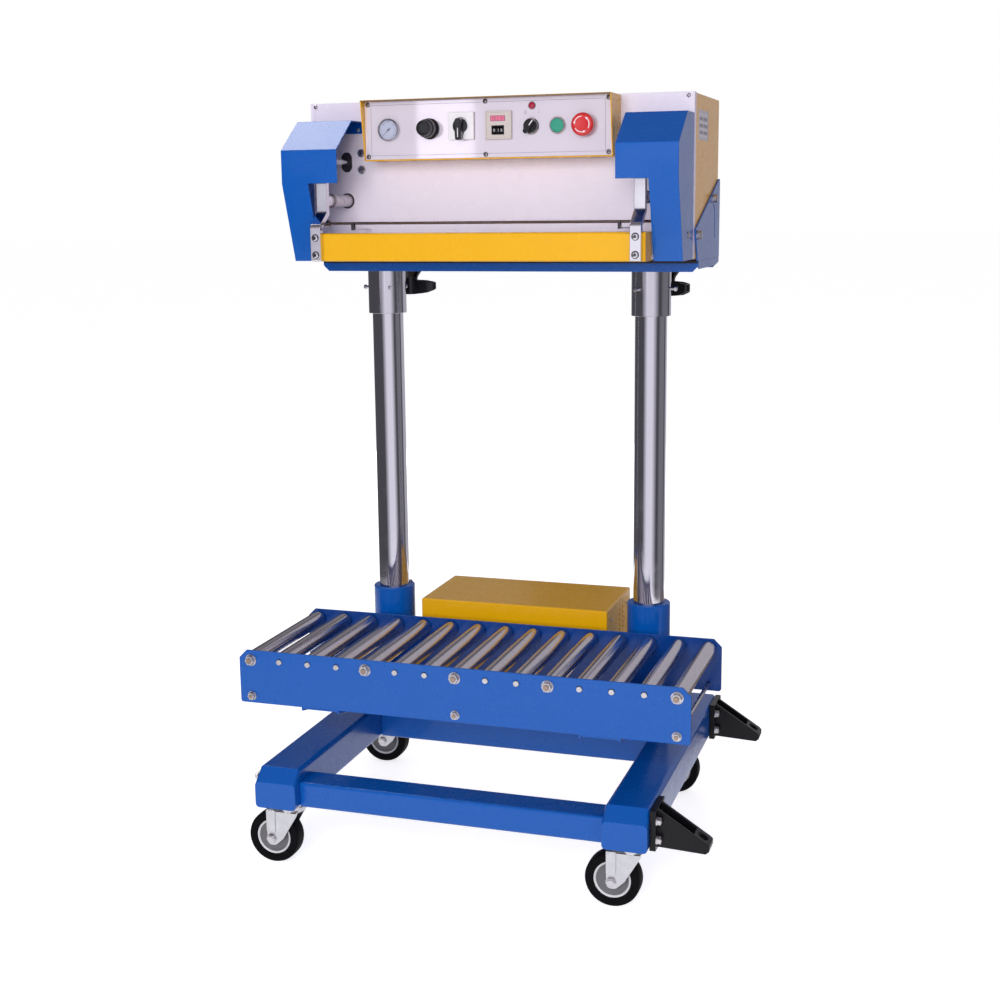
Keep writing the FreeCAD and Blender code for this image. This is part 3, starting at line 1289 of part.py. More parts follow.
arm_bolts.add_both("Y", "arm_low_front", "bar_front + arm_bolt_grip", disc("arm_x", "arm_bolt_high", "arm_bolt"),
                   disc("arm_x", "arm_bolt_low", "arm_bolt"))
group("swing_arms", arms, pins, arm_bolts)

# Jaw bar with a leaning back, so that its silicone pad meets the heating band squarely when closed.
def leaning(along_face, out):
    """A point of the jaw's leaning face, along the face and out of it."""
    return ("bar_rear + (%s) * lean_sine + (%s) * lean_cosine" % (along_face, out),
            "bar_middle + (%s) * lean_cosine - (%s) * lean_sine" % (along_face, out))


jaw = Piece("jaw_profile", node=False)
jaw.add("X", "-bar_half", "bar_half", [
    ("bar_front", "bar_middle - bar_half_height"),
    ("bar_rear - bar_half_height * lean_sine / lean_cosine", "bar_middle - bar_half_height"),
    ("bar_rear + bar_half_height * lean_sine / lean_cosine", "bar_middle + bar_half_height"),
    ("bar_front", "bar_middle + bar_half_height"),
])
jaw.cut("X", "-bar_half", "bar_half",
        [leaning("-pad_half", "-pad_inset"), leaning("pad_half", "-pad_inset"), leaning("pad_half", "pad_thick"),
         leaning("-pad_half", "pad_thick")])
jaw.cut_both("Y", "bar_front", "bar_front + arm_bolt_grip", disc("arm_x", "arm_bolt_high", "arm_bolt"),
             disc("arm_x", "arm_bolt_low", "arm_bolt"))
pad = Piece("jaw_pad", node=False)
pad.add("X", "-bar_half", "bar_half",
        [leaning("-pad_half", "-pad_inset"), leaning("pad_half", "-pad_inset"),
         leaning("pad_half", "pad_thick - 1"), leaning("pad_half - 1", "pad_thick"),
         leaning("1 - pad_half", "pad_thick"), leaning("-pad_half", "pad_thick - 1")])
group("jaw_bar", jaw, pad)

# Jaw cover: channel with closed, rounded ends.
jaw_cover = Piece("jaw_cover")
jaw_cover.add("X", "-jaw_half", "jaw_half", box("jaw_front", "jaw_low", "jaw_rear", "jaw_high"))
jaw_cover.soften("Fillet", "jaw_corner", lambda edge: edge.CenterOfMass.y < SIZES["jaw_front"] + 1)
jaw_cover.cut("X", "-jaw_half + jaw_sheet", "jaw_half - jaw_sheet",
              box("jaw_front + jaw_sheet", "jaw_low + jaw_sheet", "jaw_rear", "jaw_high - jaw_sheet"))
jaw_cover.cut_both("Y", "jaw_front", "jaw_front + jaw_sheet",
                   disc("arm_x", "arm_bolt_high", "arm_bolt"), disc("arm_x", "arm_bolt_low", "arm_bolt"))

# Piston rods: tongue with a tall eye at the front, piston at the back.
rods = Piece("piston_rods")
rods.add_both("Y", "pivot_bar_front", "piston_front", disc("arm_x", "rod_z", "rod_radius"))
rods.add_both("Y", "piston_front", "piston_rear", disc("arm_x", "rod_z", "cylinder_bore - piston_fit"))
rods.add_sides("arm_x - tongue_half", "arm_x + tongue_half", disc("pivot_y", "rod_z", "tongue_radius"))
rods.add_sides("arm_x - tongue_half", "arm_x + tongue_half",
               box("pivot_y", "rod_z - rod_radius + 1.6", "pivot_bar_front + 4", "rod_z + rod_radius - 1.6"))
rods.cut_sides("arm_x - tongue_half", "arm_x + tongue_half",
               around("pivot_y", "rod_z", "pin_radius + pin_fit", "pin_radius + pin_drop"))

# Clamp levers under the tray: hub with a collar and one hollow arm; the right one points a little forwards.
def swung(angle, x, points):
    """Points given along and across a lever's arm, swung about its stud."""
    ahead = Rotation(Vector(0, 0, 1), angle).multVec(Vector(1, 0, 0))
    return [("%s + (%s) * %.7f - (%s) * %.7f" % (x, a, ahead.x, b, ahead.y),
             "lever_y + (%s) * %.7f + (%s) * %.7f" % (a, ahead.y, b, ahead.x)) for a, b in points]


arm_plan = [
    ("0", "-lever_half"),
    ("lever_reach * 0.6", "-lever_half"),
    ("lever_reach * 0.88", "-lever_half * 0.84"),
    ("lever_reach - 2", "-lever_half * 0.55"),
    ("lever_reach", "-lever_half * 0.2"),
    ("lever_reach", "lever_half * 0.2"),
    ("lever_reach - 2", "lever_half * 0.55"),
    ("lever_reach * 0.88", "lever_half * 0.84"),
    ("lever_reach * 0.6", "lever_half"),
    ("0", "lever_half"),
]
arm_pocket = [
    ("lever_hub + lever_wall", "-lever_half + lever_wall"),
    ("lever_reach * 0.6", "-lever_half + lever_wall"),
    ("lever_reach - lever_wall * 1.5", "-lever_half * 0.5"),
    ("lever_reach - lever_wall * 1.5", "lever_half * 0.5"),
    ("lever_reach * 0.6", "lever_half - lever_wall"),
    ("lever_hub + lever_wall", "lever_half - lever_wall"),
]
for name, x, angle in levers:
    lever = Piece(name)
    lever.add("Z", "lever_low", "lever_high", disc(x, "lever_y", "lever_hub"))
    lever.add("Z", "lever_high", "lever_high + lever_collar_height", disc(x, "lever_y", "lever_boss"))
    lever.add("Z", "lever_low", "lever_shoulder", swung(angle, x, arm_plan))
    lever.cut("Z", "lever_low + lever_floor", "lever_shoulder", swung(angle, x, arm_pocket))
    lever.cut("Z", "lever_low", "lever_high + lever_collar_height", disc(x, "lever_y", "lever_bore"))

# Screws and studs of the head.
screws = Piece("head_screws")
flat_heads = [
    ("plate_corner_x", "plate_corner_z", "plate_front"),
    ("tab_bolt_x", tab_bolt_z, "plate_front - shroud_sheet"),
]
for x, z, seat in flat_heads:
    screws.add_both("Y", "%s - small_head_height" % seat, seat, disc(x, z, "small_head"))
    screws.add_both("Y", seat, "%s + panel_sheet * 4" % seat, disc(x, z, "small_shank"))
screws.add("Y", "panel_front - small_head_height", "panel_front",
           *[disc(x, z, "small_head") for x, z in panel_screws])
screws.add("Y", "panel_front", "panel_front + panel_sheet * 3",
           *[disc(x, z, "small_shank") for x, z in panel_screws])
screws.add_both("Y", "plate_front - caster_bolt_head_height", "plate_front",
                *[hexagon(x, z, "caster_bolt_head") for x, z in plate_bolts])
screws.add_both("Y", "plate_front", "plate_front + panel_sheet * 5",
                *[disc(x, z, "arm_bolt") for x, z in plate_bolts])
screws.add_sides(gusset_out, "%s + frame_washer_height" % gusset_out,
                 *[disc(y, z, "frame_washer") for y, z in gusset_bolts])
screws.add_sides("%s + frame_washer_height" % gusset_out,
                 "%s + frame_washer_height + frame_bolt_head_height" % gusset_out,
                 *[hexagon(y, z, "frame_bolt_head") for y, z in gusset_bolts])
screws.add_sides("shroud_outside - cover_corner", gusset_out, *[disc(y, z, "frame_bolt") for y, z in gusset_bolts])
screws.add_sides("shroud_outside", "shroud_outside + small_head_height",
                 disc("shroud_screw_y", "shroud_screw_z", "small_head * 1.6"))
for x, angles in SCREW_ANGLES:
    for angle in angles:
        screws.aimed("Pad", angle, x, "column_y", "sleeve_screw_z", "sleeve_screw_tip",
                     "sleeve_screw_end - sleeve_screw_tip", "sleeve_screw")
        screws.aimed("Hex", angle, x, "column_y", "sleeve_screw_z", "sleeve_screw_end",
                     "sleeve_screw_head_height", "sleeve_screw_head")
for name, x, angle in levers:
    screws.add("Z", "lever_stud_end", tray_low, disc(x, "lever_y", "lever_bore - lever_fit"))
    screws.add("Z", "lever_high + lever_collar_height + knob_gap", tray_low, disc(x, "lever_y", "lever_spacer"))

# Knobs and buttons of the panel.
knob_seat = "panel_front - regulator_collar - knob_gap"
regulator_knob = Piece("regulator_knob")
regulator_knob.turned("Y", "regulator_x", "instrument_z", [
    ("0", "panel_front + spindle_length"),
    ("0", "regulator_front"),
    ("regulator_cap - 1.5", "regulator_front"),
    ("regulator_cap", "regulator_front + 1.5"),
    ("regulator_cap", "regulator_step - 2"),
    ("regulator_knob", "regulator_step"),
    ("regulator_knob", knob_seat),
    ("spindle", knob_seat),
    ("spindle", "panel_front + spindle_length"),
])
knob_seat = "panel_front - cam_out - knob_gap"
cam_knob = Piece("cam_knob")
cam_knob.add("Y", knob_seat + " - cam_knob_disc", knob_seat, disc("cam_x", "cam_z", "cam_knob_radius"))
cam_knob.add("Y", "cam_knob_front", knob_seat + " - cam_knob_disc", [
    ("cam_x - cam_handle_half", "cam_z + cam_handle_up - 5"),
    ("cam_x - cam_handle_half + 4", "cam_z + cam_handle_up"),
    ("cam_x + cam_handle_half - 4", "cam_z + cam_handle_up"),
    ("cam_x + cam_handle_half", "cam_z + cam_handle_up - 5"),
    ("cam_x + cam_handle_half - 0.5", "cam_z - cam_handle_down + 2"),
    ("cam_x + cam_handle_half - 2.5", "cam_z - cam_handle_down"),
    ("cam_x - cam_handle_half + 2.5", "cam_z - cam_handle_down"),
    ("cam_x - cam_handle_half + 0.5", "cam_z - cam_handle_down + 2"),
])
cam_knob.add("Y", knob_seat, "panel_front + spindle_length", disc("cam_x", "cam_z", "spindle"))
knob_seat = "panel_front - bezel_out - knob_gap"
selector = Piece("selector_knob")
selector.add("Y", "selector_knob_step", knob_seat, disc("selector_x", "instrument_z", "selector_knob_radius"))
wing = []
for a, b in ((1, 0.8), (1.02, 0), (1, -0.8), (-1.0, -1), (-1.25, -0.5), (-1.25, 0.5), (-1.0, 1)):
    long_part = "selector_knob_radius * %.4f" % a
    wide_part = "selector_wing * %.4f" % b
    wing.append(("selector_x + %s * 0.60 + %s * 0.80" % (long_part, wide_part),
                 "instrument_z + %s * 0.80 - %s * 0.60" % (long_part, wide_part)))
selector.add("Y", "selector_knob_front", "selector_knob_step", wing)
selector.add("Y", knob_seat, "panel_front + spindle_length", disc("selector_x", "instrument_z", "spindle"))
start = Piece("start_button")
start.add("Y", "start_front", "start_back", disc("start_x", "instrument_z", "start_radius"))
start.soften("Fillet", "1", lambda edge: edge.BoundBox.YMax < SIZES["start_front"] + 0.1)
start.add("Y", "start_back", "panel_front + spindle_length", disc("start_x", "instrument_z", "spindle"))
stop = Piece("stop_button")
stop.turned("Y", "stop_x", "instrument_z", [
    ("0", "panel_front + spindle_length"),
    ("0", "stop_front"),
    ("stop_radius - 6", "stop_front"),
    ("stop_radius - 2.5", "stop_front + 1"),
    ("stop_radius - 0.6", "stop_front + 3"),
    ("stop_radius", "stop_front + 5.5"),
    ("stop_radius", "stop_back - 1"),
    ("stop_radius - 1", "stop_back"),
    ("stop_neck", "stop_back"),
    ("stop_neck", "stop_neck_back"),
    ("spindle", "stop_neck_back"),
    ("spindle", "panel_front + spindle_length"),
])
thumb = Piece("timer_wheel")
wheel_y = "panel_front - timer_out + wheel_centre"
thumb.add("X", "timer_x - 1 - thumb_half", "timer_x - 1 + thumb_half",
          disc(wheel_y, "window_z", "thumb_radius"))
thumb.add("X", "timer_x - 1 - thumb_axle_half", "timer_x - 1 + thumb_axle_half",
          disc(wheel_y, "window_z", "thumb_axle"))

doc.recompute()
os.makedirs("parts", exist_ok=True)
faults = [item.Label for item in doc.Objects if "Invalid" in item.State or "Error" in item.State]
if faults:
    raise RuntimeError("features that do not build: " + ", ".join(faults))
for node in nodes:
    if node.Shape.isNull() or not node.Shape.isValid() or not node.Shape.Solids:
        raise RuntimeError("no sound shape for " + node.Label)
    node.Shape.exportStep("parts/%s.step" % node.Label)
print("%d nodes written" % len(nodes))
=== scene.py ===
"""Dresses an upright bag heat sealer: roller table, twin columns, sealing head and casters."""
from __future__ import annotations

import logging
import math
from dataclasses import dataclass
from enum import Enum
from typing import Callable, Iterable, Optional, Sequence

import bmesh
import bpy
from mathutils import Matrix, Vector

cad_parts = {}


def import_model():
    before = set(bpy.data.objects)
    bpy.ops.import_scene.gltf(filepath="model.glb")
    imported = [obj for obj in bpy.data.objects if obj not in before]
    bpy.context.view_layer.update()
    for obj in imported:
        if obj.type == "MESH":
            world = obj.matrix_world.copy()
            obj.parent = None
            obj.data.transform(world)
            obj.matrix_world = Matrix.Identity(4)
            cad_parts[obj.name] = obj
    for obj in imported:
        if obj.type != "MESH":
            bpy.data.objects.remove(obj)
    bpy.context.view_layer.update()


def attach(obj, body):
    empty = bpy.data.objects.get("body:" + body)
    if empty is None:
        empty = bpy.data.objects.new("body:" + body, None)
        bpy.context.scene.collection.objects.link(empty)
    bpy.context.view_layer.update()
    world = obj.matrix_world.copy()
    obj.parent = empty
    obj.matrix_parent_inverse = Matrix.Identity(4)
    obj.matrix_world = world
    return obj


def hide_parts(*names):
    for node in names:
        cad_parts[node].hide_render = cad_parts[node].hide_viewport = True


LOG = logging.getLogger("heat_sealer")

MM = 0.001
SHIFT = Vector((-20.5, -270.0, 0.0))

# Places in machine millimetres that several assemblies share
COLUMN_X = 265.5
COLUMN_Y = 384.0
PIVOT_X = 294.7
PIVOT_Z = 1217.0
ROD_Z = 1288.0
PLATE_FACE = 268.0
LEVER_STUDS = (-257.5, 273.5)
LEVER_Y = 487.0
TO_THE_FRONT = (0.0, -1.0, 0.0)

# Angles in degrees: edges sharper than these are rounded or kept sharp
BEVEL_ANGLE = 32.0
SHARP_ANGLE = 34.0
GROWN_SHARP_ANGLE = 30.0

Point = tuple[float, float, float]
Flat = tuple[float, float]
Colour = tuple[float, float, float]


def at(x: float, y: float, z: float) -> Vector:
    """A point drawn in machine millimetres, in the metres of the frame."""
    return (Vector((x, y, z)) + SHIFT) * MM


class Axis(Enum):
    """The direction that a turned or extruded shape follows."""

    X = 0
    Y = 1
    Z = 2


class Side(Enum):
    """Left or right of the machine's middle, as a sign on X."""

    LEFT = -1
    RIGHT = 1


def mirrored(half: Sequence[Flat], middle: float) -> list[Flat]:
    """Completes one half of a turned outline.

    Args:
        half: corners as (radius, distance from the middle).
        middle: the station that the outline mirrors about.

    Returns:
        Both halves as (radius, station).
    """
    near = [(radius, middle - out) for radius, out in half]
    return near + [(radius, middle + out) for radius, out in reversed(half)]


def around(x: float, z: float, reach: float, degrees: float) -> Flat:
    """A point at a reach and an angle round a middle in the panel's plane."""
    angle = math.radians(degrees)
    return (x + reach * math.cos(angle), z + reach * math.sin(angle))


# Finishes


class Graph:
    """A material's node tree with one Principled shader and short ways to add to it."""

    def __init__(self, name: str) -> None:
        """Starts an empty material.

        Args:
            name: the material's name.
        """
        self.material = bpy.data.materials.new(name)
        self.material.use_nodes = True
        self.tree = self.material.node_tree
        self.tree.nodes.clear()
        self.output = self.tree.nodes.new("ShaderNodeOutputMaterial")
        self.shader = self.tree.nodes.new("ShaderNodeBsdfPrincipled")
        self.link(self.shader, "BSDF", self.output, "Surface")
        self.where = self.tree.nodes.new("ShaderNodeTexCoord")

    def link(self, a: bpy.types.Node, out: str, b: bpy.types.Node, into: str) -> None:
        """Joins one node's output to another's input."""
        self.tree.links.new(a.outputs[out], b.inputs[into])

    def add(self, kind: str, **inputs: object) -> bpy.types.Node:
        """Adds a node and sets plain inputs, whose names have _ for a space."""
        node = self.tree.nodes.new(kind)
        for name, value in inputs.items():
            node.inputs[name.replace("_", " ")].default_value = value
        return node

    def set(self, **inputs: object) -> None:
        """Sets plain inputs of the shader, whose names have _ for a space."""
        for name, value in inputs.items():
            self.shader.inputs[name.replace("_", " ")].default_value = value

    def mapped(self, stretch: Point, turn: Point = (0.0, 0.0, 0.0)) -> bpy.types.Node:
        """Object coordinates, stretched and turned for one texture.

        Args:
            stretch: scale along each axis.
            turn: turn about each axis in radians.

        Returns:
            The mapping node.
        """
        node = self.add("ShaderNodeMapping", Scale=stretch, Rotation=turn)
        self.link(self.where, "Object", node, "Vector")
        return node

    def noise(self, source: bpy.types.Node, scale: float, detail: float = 3.0) -> bpy.types.Node:
        """A noise texture read through a mapping node."""
        node = self.add("ShaderNodeTexNoise", Scale=scale, Detail=detail)
        self.link(source, "Vector", node, "Vector")
        return node

    def spread(self, source: bpy.types.Node, out: str, low: float, high: float,
               start: float = 0.3, end: float = 0.7) -> bpy.types.Node:
        """Maps a texture's middle range to low and high.

        Args:
            source: the texture node.
            out: the name of its output.
            low: value below start.
            high: value above end.
            start: where the change begins.
            end: where it is complete.

        Returns:
            The map range node.
        """
        node = self.add("ShaderNodeMapRange", From_Min=start, From_Max=end, To_Min=low, To_Max=high)
        self.link(source, out, node, "Value")
        return node

    def tint(self, factor: bpy.types.Node, out: str, dark: Colour, light: Colour) -> bpy.types.Node:
        """Blends two colours by a factor."""
        node = self.tree.nodes.new("ShaderNodeMix")
        node.data_type = "RGBA"
        node.inputs["A"].default_value = (*dark, 1.0)
        node.inputs["B"].default_value = (*light, 1.0)
        self.link(factor, out, node, "Factor")
        return node

    def bump(self, height: bpy.types.Node, out: str, depth: float,
             under: Optional[bpy.types.Node] = None) -> bpy.types.Node:
        """Turns a texture into relief.

        Args:
            height: the texture node.
            out: the name of its output.
            depth: relief in metres.
            under: an earlier bump node that this one adds to.

        Returns:
            The bump node.
        """
        node = self.add("ShaderNodeBump", Distance=depth, Strength=1.0)
        self.link(height, out, node, "Height")
        if under is not None:
            self.link(under, "Normal", node, "Normal")
        return node


@dataclass(frozen=True)
class Finish:
    """A finish with broad colour patches, fine grain and even gloss values."""

    name: str
    slot: str
    colour: Colour
    roughness: float = 0.4
    metallic: float = 0.0
    patch: float = 0.06
    patch_scale: float = 9.0
    grain_scale: float = 700.0
    grain_depth: float = 0.00002
    stretch: Point = (1.0, 1.0, 1.0)
    gloss_change: float = 0.05
    coat: float = 0.0
    coat_roughness: float = 0.06
    specular: float = 0.5

    def shade(self, factor: float) -> Colour:
        """The finish's colour made lighter or darker."""
        return tuple(min(1.0, part * factor) for part in self.colour)

    def dress(self, graph: Graph) -> None:
        """Adds what this finish has besides its shared base; a plain finish adds nothing."""

    def build(self) -> bpy.types.Material:
        """Builds the material once and hands out the same one afterwards.

        Returns:
            The Blender material.
        """
        known = bpy.data.materials.get(self.name)
        if known is not None:
            return known
        graph = Graph(self.name)
        shader = graph.shader
        graph.set(Metallic=self.metallic, Specular_IOR_Level=self.specular, Coat_Weight=self.coat,
                  Coat_Roughness=self.coat_roughness)
        broad = graph.noise(graph.mapped((1.0, 1.0, 1.0)), self.patch_scale, 4.0)
        colour = graph.tint(broad, "Fac", self.shade(1.0 - self.patch), self.shade(1.0 + self.patch))
        graph.link(colour, "Result", shader, "Base Color")
        grain = graph.noise(graph.mapped(self.stretch), self.grain_scale, 2.0)
        relief = graph.bump(grain, "Fac", self.grain_depth)
        graph.link(relief, "Normal", shader, "Normal")
        smear = graph.noise(graph.mapped((1.0, 1.0, 1.0), (0.4, 0.2, 0.9)), self.patch_scale * 3.0, 5.0)
        low = max(0.02, self.roughness - self.gloss_change)
        gloss = graph.spread(smear, "Fac", low, self.roughness + self.gloss_change)
        graph.link(gloss, "Result", shader, "Roughness")
        self.dress(graph)
        return graph.material


@dataclass(frozen=True)
class PowderCoat(Finish):
    """Glossy powder coat with the faint waviness of baked paint."""

    roughness: float = 0.27
    coat: float = 0.16
    coat_roughness: float = 0.05
    specular: float = 0.32
    gloss_change: float = 0.02
    grain_depth: float = 0.0000015
    wave: float = 0.000012

    def dress(self, graph: Graph) -> None:
        """Adds the slow waves of the paint film to its coat."""
        waves = graph.noise(graph.mapped((1.0, 1.0, 1.0)), 160.0, 1.0)
        relief = graph.bump(waves, "Fac", self.wave)
        graph.link(relief, "Normal", graph.shader, "Coat Normal")


@dataclass(frozen=True)
class DrawnMetal(Finish):
    """Ground or drawn metal; stretch sets which way its fine lines run."""

    metallic: float = 1.0
    roughness: float = 0.14
    line_depth: float = 0.000006
    line_scale: float = 40.0

    def dress(self, graph: Graph) -> None:
        """Lays fine lines over the grain."""
        lines = graph.noise(graph.mapped(self.stretch), self.line_scale, 6.0)
        base = graph.shader.inputs["Normal"].links[0].from_node
        relief = graph.bump(lines, "Fac", self.line_depth, base)
        graph.link(relief, "Normal", graph.shader, "Normal")


@dataclass(frozen=True)
class CastPlastic(Finish):
    """Moulded or cast surface with a fine pitted grain."""

    roughness: float = 0.38
    cells: float = 1400.0
    cell_depth: float = 0.00003

    def dress(self, graph: Graph) -> None:
        """Adds the pits of the mould."""
        cells = graph.add("ShaderNodeTexVoronoi", Scale=self.cells)
        graph.link(graph.mapped((1.0, 1.0, 1.0)), "Vector", cells, "Vector")
        base = graph.shader.inputs["Normal"].links[0].from_node
        relief = graph.bump(cells, "Distance", self.cell_depth, base)
        graph.link(relief, "Normal", graph.shader, "Normal")


@dataclass(frozen=True)
class ClearGlass(Finish):
    """Thin clear cover glass."""

    roughness: float = 0.03
    gloss_change: float = 0.01
    grain_depth: float = 0.000001

    def dress(self, graph: Graph) -> None:
        """Lets light through."""
        graph.set(Transmission_Weight=1.0, IOR=1.12)


@dataclass(frozen=True)
class LitWindow(Finish):
    """A tinted display window that gives off a little light."""

    glow: Colour = (0.8, 0.2, 0.3)
    strength: float = 0.3

    def dress(self, graph: Graph) -> None:
        """Sets the glow behind the window."""
        graph.set(Emission_Color=(*self.glow, 1.0), Emission_Strength=self.strength)


BLUE = PowderCoat("blue_powder_coat", "blue_paint", (0.000, 0.091, 0.425), patch=0.03)
YELLOW = PowderCoat("yellow_powder_coat", "yellow_paint", (0.800, 0.415, 0.002), patch=0.02)
WHITE = PowderCoat("white_powder_coat", "white_paint", (0.795, 0.735, 0.860), patch=0.01, coat=0.2)
COLUMN_STEEL = DrawnMetal("ground_column_steel", "polished_steel", (0.640, 0.620, 0.680), roughness=0.09,
                          stretch=(1.0, 1.0, 8.0), patch=0.03, grain_depth=0.0000008, line_depth=0.000003)
SLEEVE_STEEL = DrawnMetal("turned_sleeve_steel", "polished_steel", (0.600, 0.580, 0.640), roughness=0.13,
                          stretch=(1.0, 1.0, 10.0), patch=0.04, grain_depth=0.000001, line_depth=0.000004)
ARM_STEEL = DrawnMetal("polished_arm_steel", "polished_steel", (0.680, 0.670, 0.720), roughness=0.12,
                       stretch=(1.0, 1.0, 4.0), patch=0.05, grain_depth=0.000002)
ROLLER_STEEL = DrawnMetal("drawn_roller_tube", "roller_steel", (0.560, 0.520, 0.560), roughness=0.20,
                          stretch=(1.0, 4.0, 1.0), patch=0.14, patch_scale=150.0, grain_depth=0.0000012,
                          line_depth=0.000003)
ZINC = DrawnMetal("zinc_plated_steel", "zinc_steel", (0.560, 0.540, 0.560), roughness=0.30, gloss_change=0.08,
                  stretch=(1.0, 1.0, 1.0), patch=0.12, patch_scale=60.0)
GALVANISED = DrawnMetal("galvanised_pressing", "caster_steel", (0.570, 0.570, 0.595), roughness=0.36,
                        gloss_change=0.10, stretch=(1.0, 1.0, 1.0), patch=0.16, patch_scale=75.0)
RUBBER = CastPlastic("black_tyre_rubber", "wheel_black", (0.003, 0.003, 0.004), roughness=0.66, cells=900.0,
                     cell_depth=0.00003, specular=0.08)
HUB_GREY = CastPlastic("grey_wheel_hub", "wheel_black", (0.125, 0.125, 0.136), roughness=0.36, cells=700.0)
RIM_WHITE = CastPlastic("white_wheel_ring", "wheel_black", (0.700, 0.700, 0.730), roughness=0.30, cells=700.0)
BRACKET = CastPlastic("black_cast_bracket", "bracket_black", (0.006, 0.006, 0.008), roughness=0.26,
                      cells=500.0,
                      cell_depth=0.00006, specular=0.20)
BLACK = CastPlastic("black_moulding", "black_plastic", (0.007, 0.007, 0.009), roughness=0.20, coat=0.2,
                    specular=0.4)
LEVER = CastPlastic("black_lever_moulding", "lever_black", (0.007, 0.007, 0.009), roughness=0.22,
                    specular=0.4)
# Painted shade: near black for the shadowed gaps round the pivots and in the plate's holes.
PAINTED_GAP_SHADE = CastPlastic("painted_shade_for_gaps", "polished_steel", (0.030, 0.026, 0.034), roughness=0.45)
PIVOT = DrawnMetal("machined_pivot", "zinc_steel", (0.600, 0.560, 0.640), metallic=0.15, roughness=0.30,
                   patch=0.02,
                   line_depth=0.000002)
AXLE_END = DrawnMetal("browned_axle_end", "zinc_steel", (0.360, 0.270, 0.220), roughness=0.34, patch=0.15,
                      patch_scale=90.0)
# Painted shade: a darker blue for the table plates' inner faces, which sit in shadow under the rollers.
BLUE_IN_PAINTED_SHADE = PowderCoat("blue_coat_inside_the_table", "blue_paint", (0.000, 0.040, 0.230), patch=0.03)
SHADED_EDGE = PowderCoat("yellow_edge_in_shade", "yellow_paint", (0.300, 0.150, 0.020), patch=0.02)
# Painted shade: near black for the shadowed gap between the jaw cover and the tray's front edge.
TRAY_EDGE_SHADE = CastPlastic("painted_shade_on_tray_edge", "blue_paint", (0.010, 0.009, 0.014), roughness=0.50, cells=900.0)
# Dark steel for hooks, washers and rims; the same colour, as thin discs on screw heads, is painted shade in
# their sockets.
DARK_STEEL_AND_SOCKET_SHADE = DrawnMetal("dark_screw_steel", "zinc_steel", (0.100, 0.090, 0.105), roughness=0.32, patch=0.10)
TAPE_STEEL = DrawnMetal("tape_rod_steel", "polished_steel", (0.230, 0.190, 0.185), roughness=0.24, patch=0.06)
PANEL = DrawnMetal("silver_white_panel", "panel_white", (0.790, 0.735, 0.835), metallic=0.34, roughness=0.05,
                   stretch=(1.0, 1.0, 1.0), patch=0.01, gloss_change=0.01, grain_depth=0.0000006,
                   line_depth=0.000001)
PANEL_LINE = CastPlastic("panel_border_line", "instrument_mix", (0.110, 0.105, 0.200))
CHROME = DrawnMetal("bright_bezel", "instrument_mix", (0.760, 0.760, 0.780), roughness=0.10, patch=0.03)
GREY_BEZEL = DrawnMetal("grey_gauge_bezel", "instrument_mix", (0.420, 0.400, 0.440), roughness=0.22,
                        patch=0.05)
LABEL = CastPlastic("blank_label_foil", "yellow_paint", (0.620, 0.600, 0.640), roughness=0.30, cells=2000.0)
LABEL_FIELD = CastPlastic("label_field", "yellow_paint", (0.190, 0.190, 0.250), roughness=0.35, cells=2000.0)
BEIGE = CastPlastic("beige_timer_case", "instrument_mix", (0.560, 0.500, 0.480), roughness=0.40)
WHITE_PLASTIC = CastPlastic("white_moulding", "instrument_mix", (0.820, 0.800, 0.840), roughness=0.28)
DARK_CASE = CastPlastic("dark_switch_body", "instrument_mix", (0.030, 0.030, 0.040), roughness=0.40)
DIAL = CastPlastic("pale_dial_face", "instrument_mix", (0.350, 0.360, 0.470), roughness=0.50)
INK = CastPlastic("dark_dial_ink", "instrument_mix", (0.030, 0.030, 0.070), roughness=0.60)
WINDOW = LitWindow("display_window", "instrument_mix", (0.330, 0.110, 0.190), roughness=0.20,
                   glow=(0.7, 0.25, 0.45),
                   strength=0.12)
DIGITS = LitWindow("display_digits", "instrument_mix", (0.750, 0.120, 0.160), roughness=0.30,
                   glow=(0.9, 0.1, 0.15),
                   strength=0.6)
LAMP = LitWindow("red_lamp_lens", "instrument_mix", (0.330, 0.006, 0.030), roughness=0.12, coat=0.8,
                 glow=(0.4, 0.0, 0.03), strength=0.15)
GLASS = ClearGlass("gauge_glass", "instrument_mix", (0.95, 0.97, 1.0))
GREEN = CastPlastic("green_button", "green_plastic", (0.026, 0.290, 0.195), roughness=0.34)
RED = CastPlastic("red_button", "red_plastic", (0.600, 0.020, 0.024), roughness=0.24, coat=0.4)
ALUMINIUM = DrawnMetal("machined_aluminium", "aluminium", (0.700, 0.700, 0.720), roughness=0.28,
                       stretch=(12.0, 1.0, 1.0), patch=0.05)
PALE_BAR = DrawnMetal("satin_fixed_bar", "fixed_jaw_metal", (0.620, 0.540, 0.520), metallic=0.35,
                      roughness=0.34,
                      stretch=(12.0, 1.0, 1.0), patch=0.04)
SILICONE = CastPlastic("red_silicone_pad", "jaw_metal", (0.420, 0.060, 0.035), roughness=0.55)
BAND = CastPlastic("brown_band_cover", "fixed_jaw_metal", (0.270, 0.150, 0.080), roughness=0.42)
COPPER = DrawnMetal("lacquered_winding", "yellow_paint", (0.550, 0.200, 0.080), roughness=0.30,
                    stretch=(1.0, 40.0, 1.0))
IRON = CastPlastic("laminated_core", "yellow_paint", (0.120, 0.120, 0.130), roughness=0.55)


# Mesh making


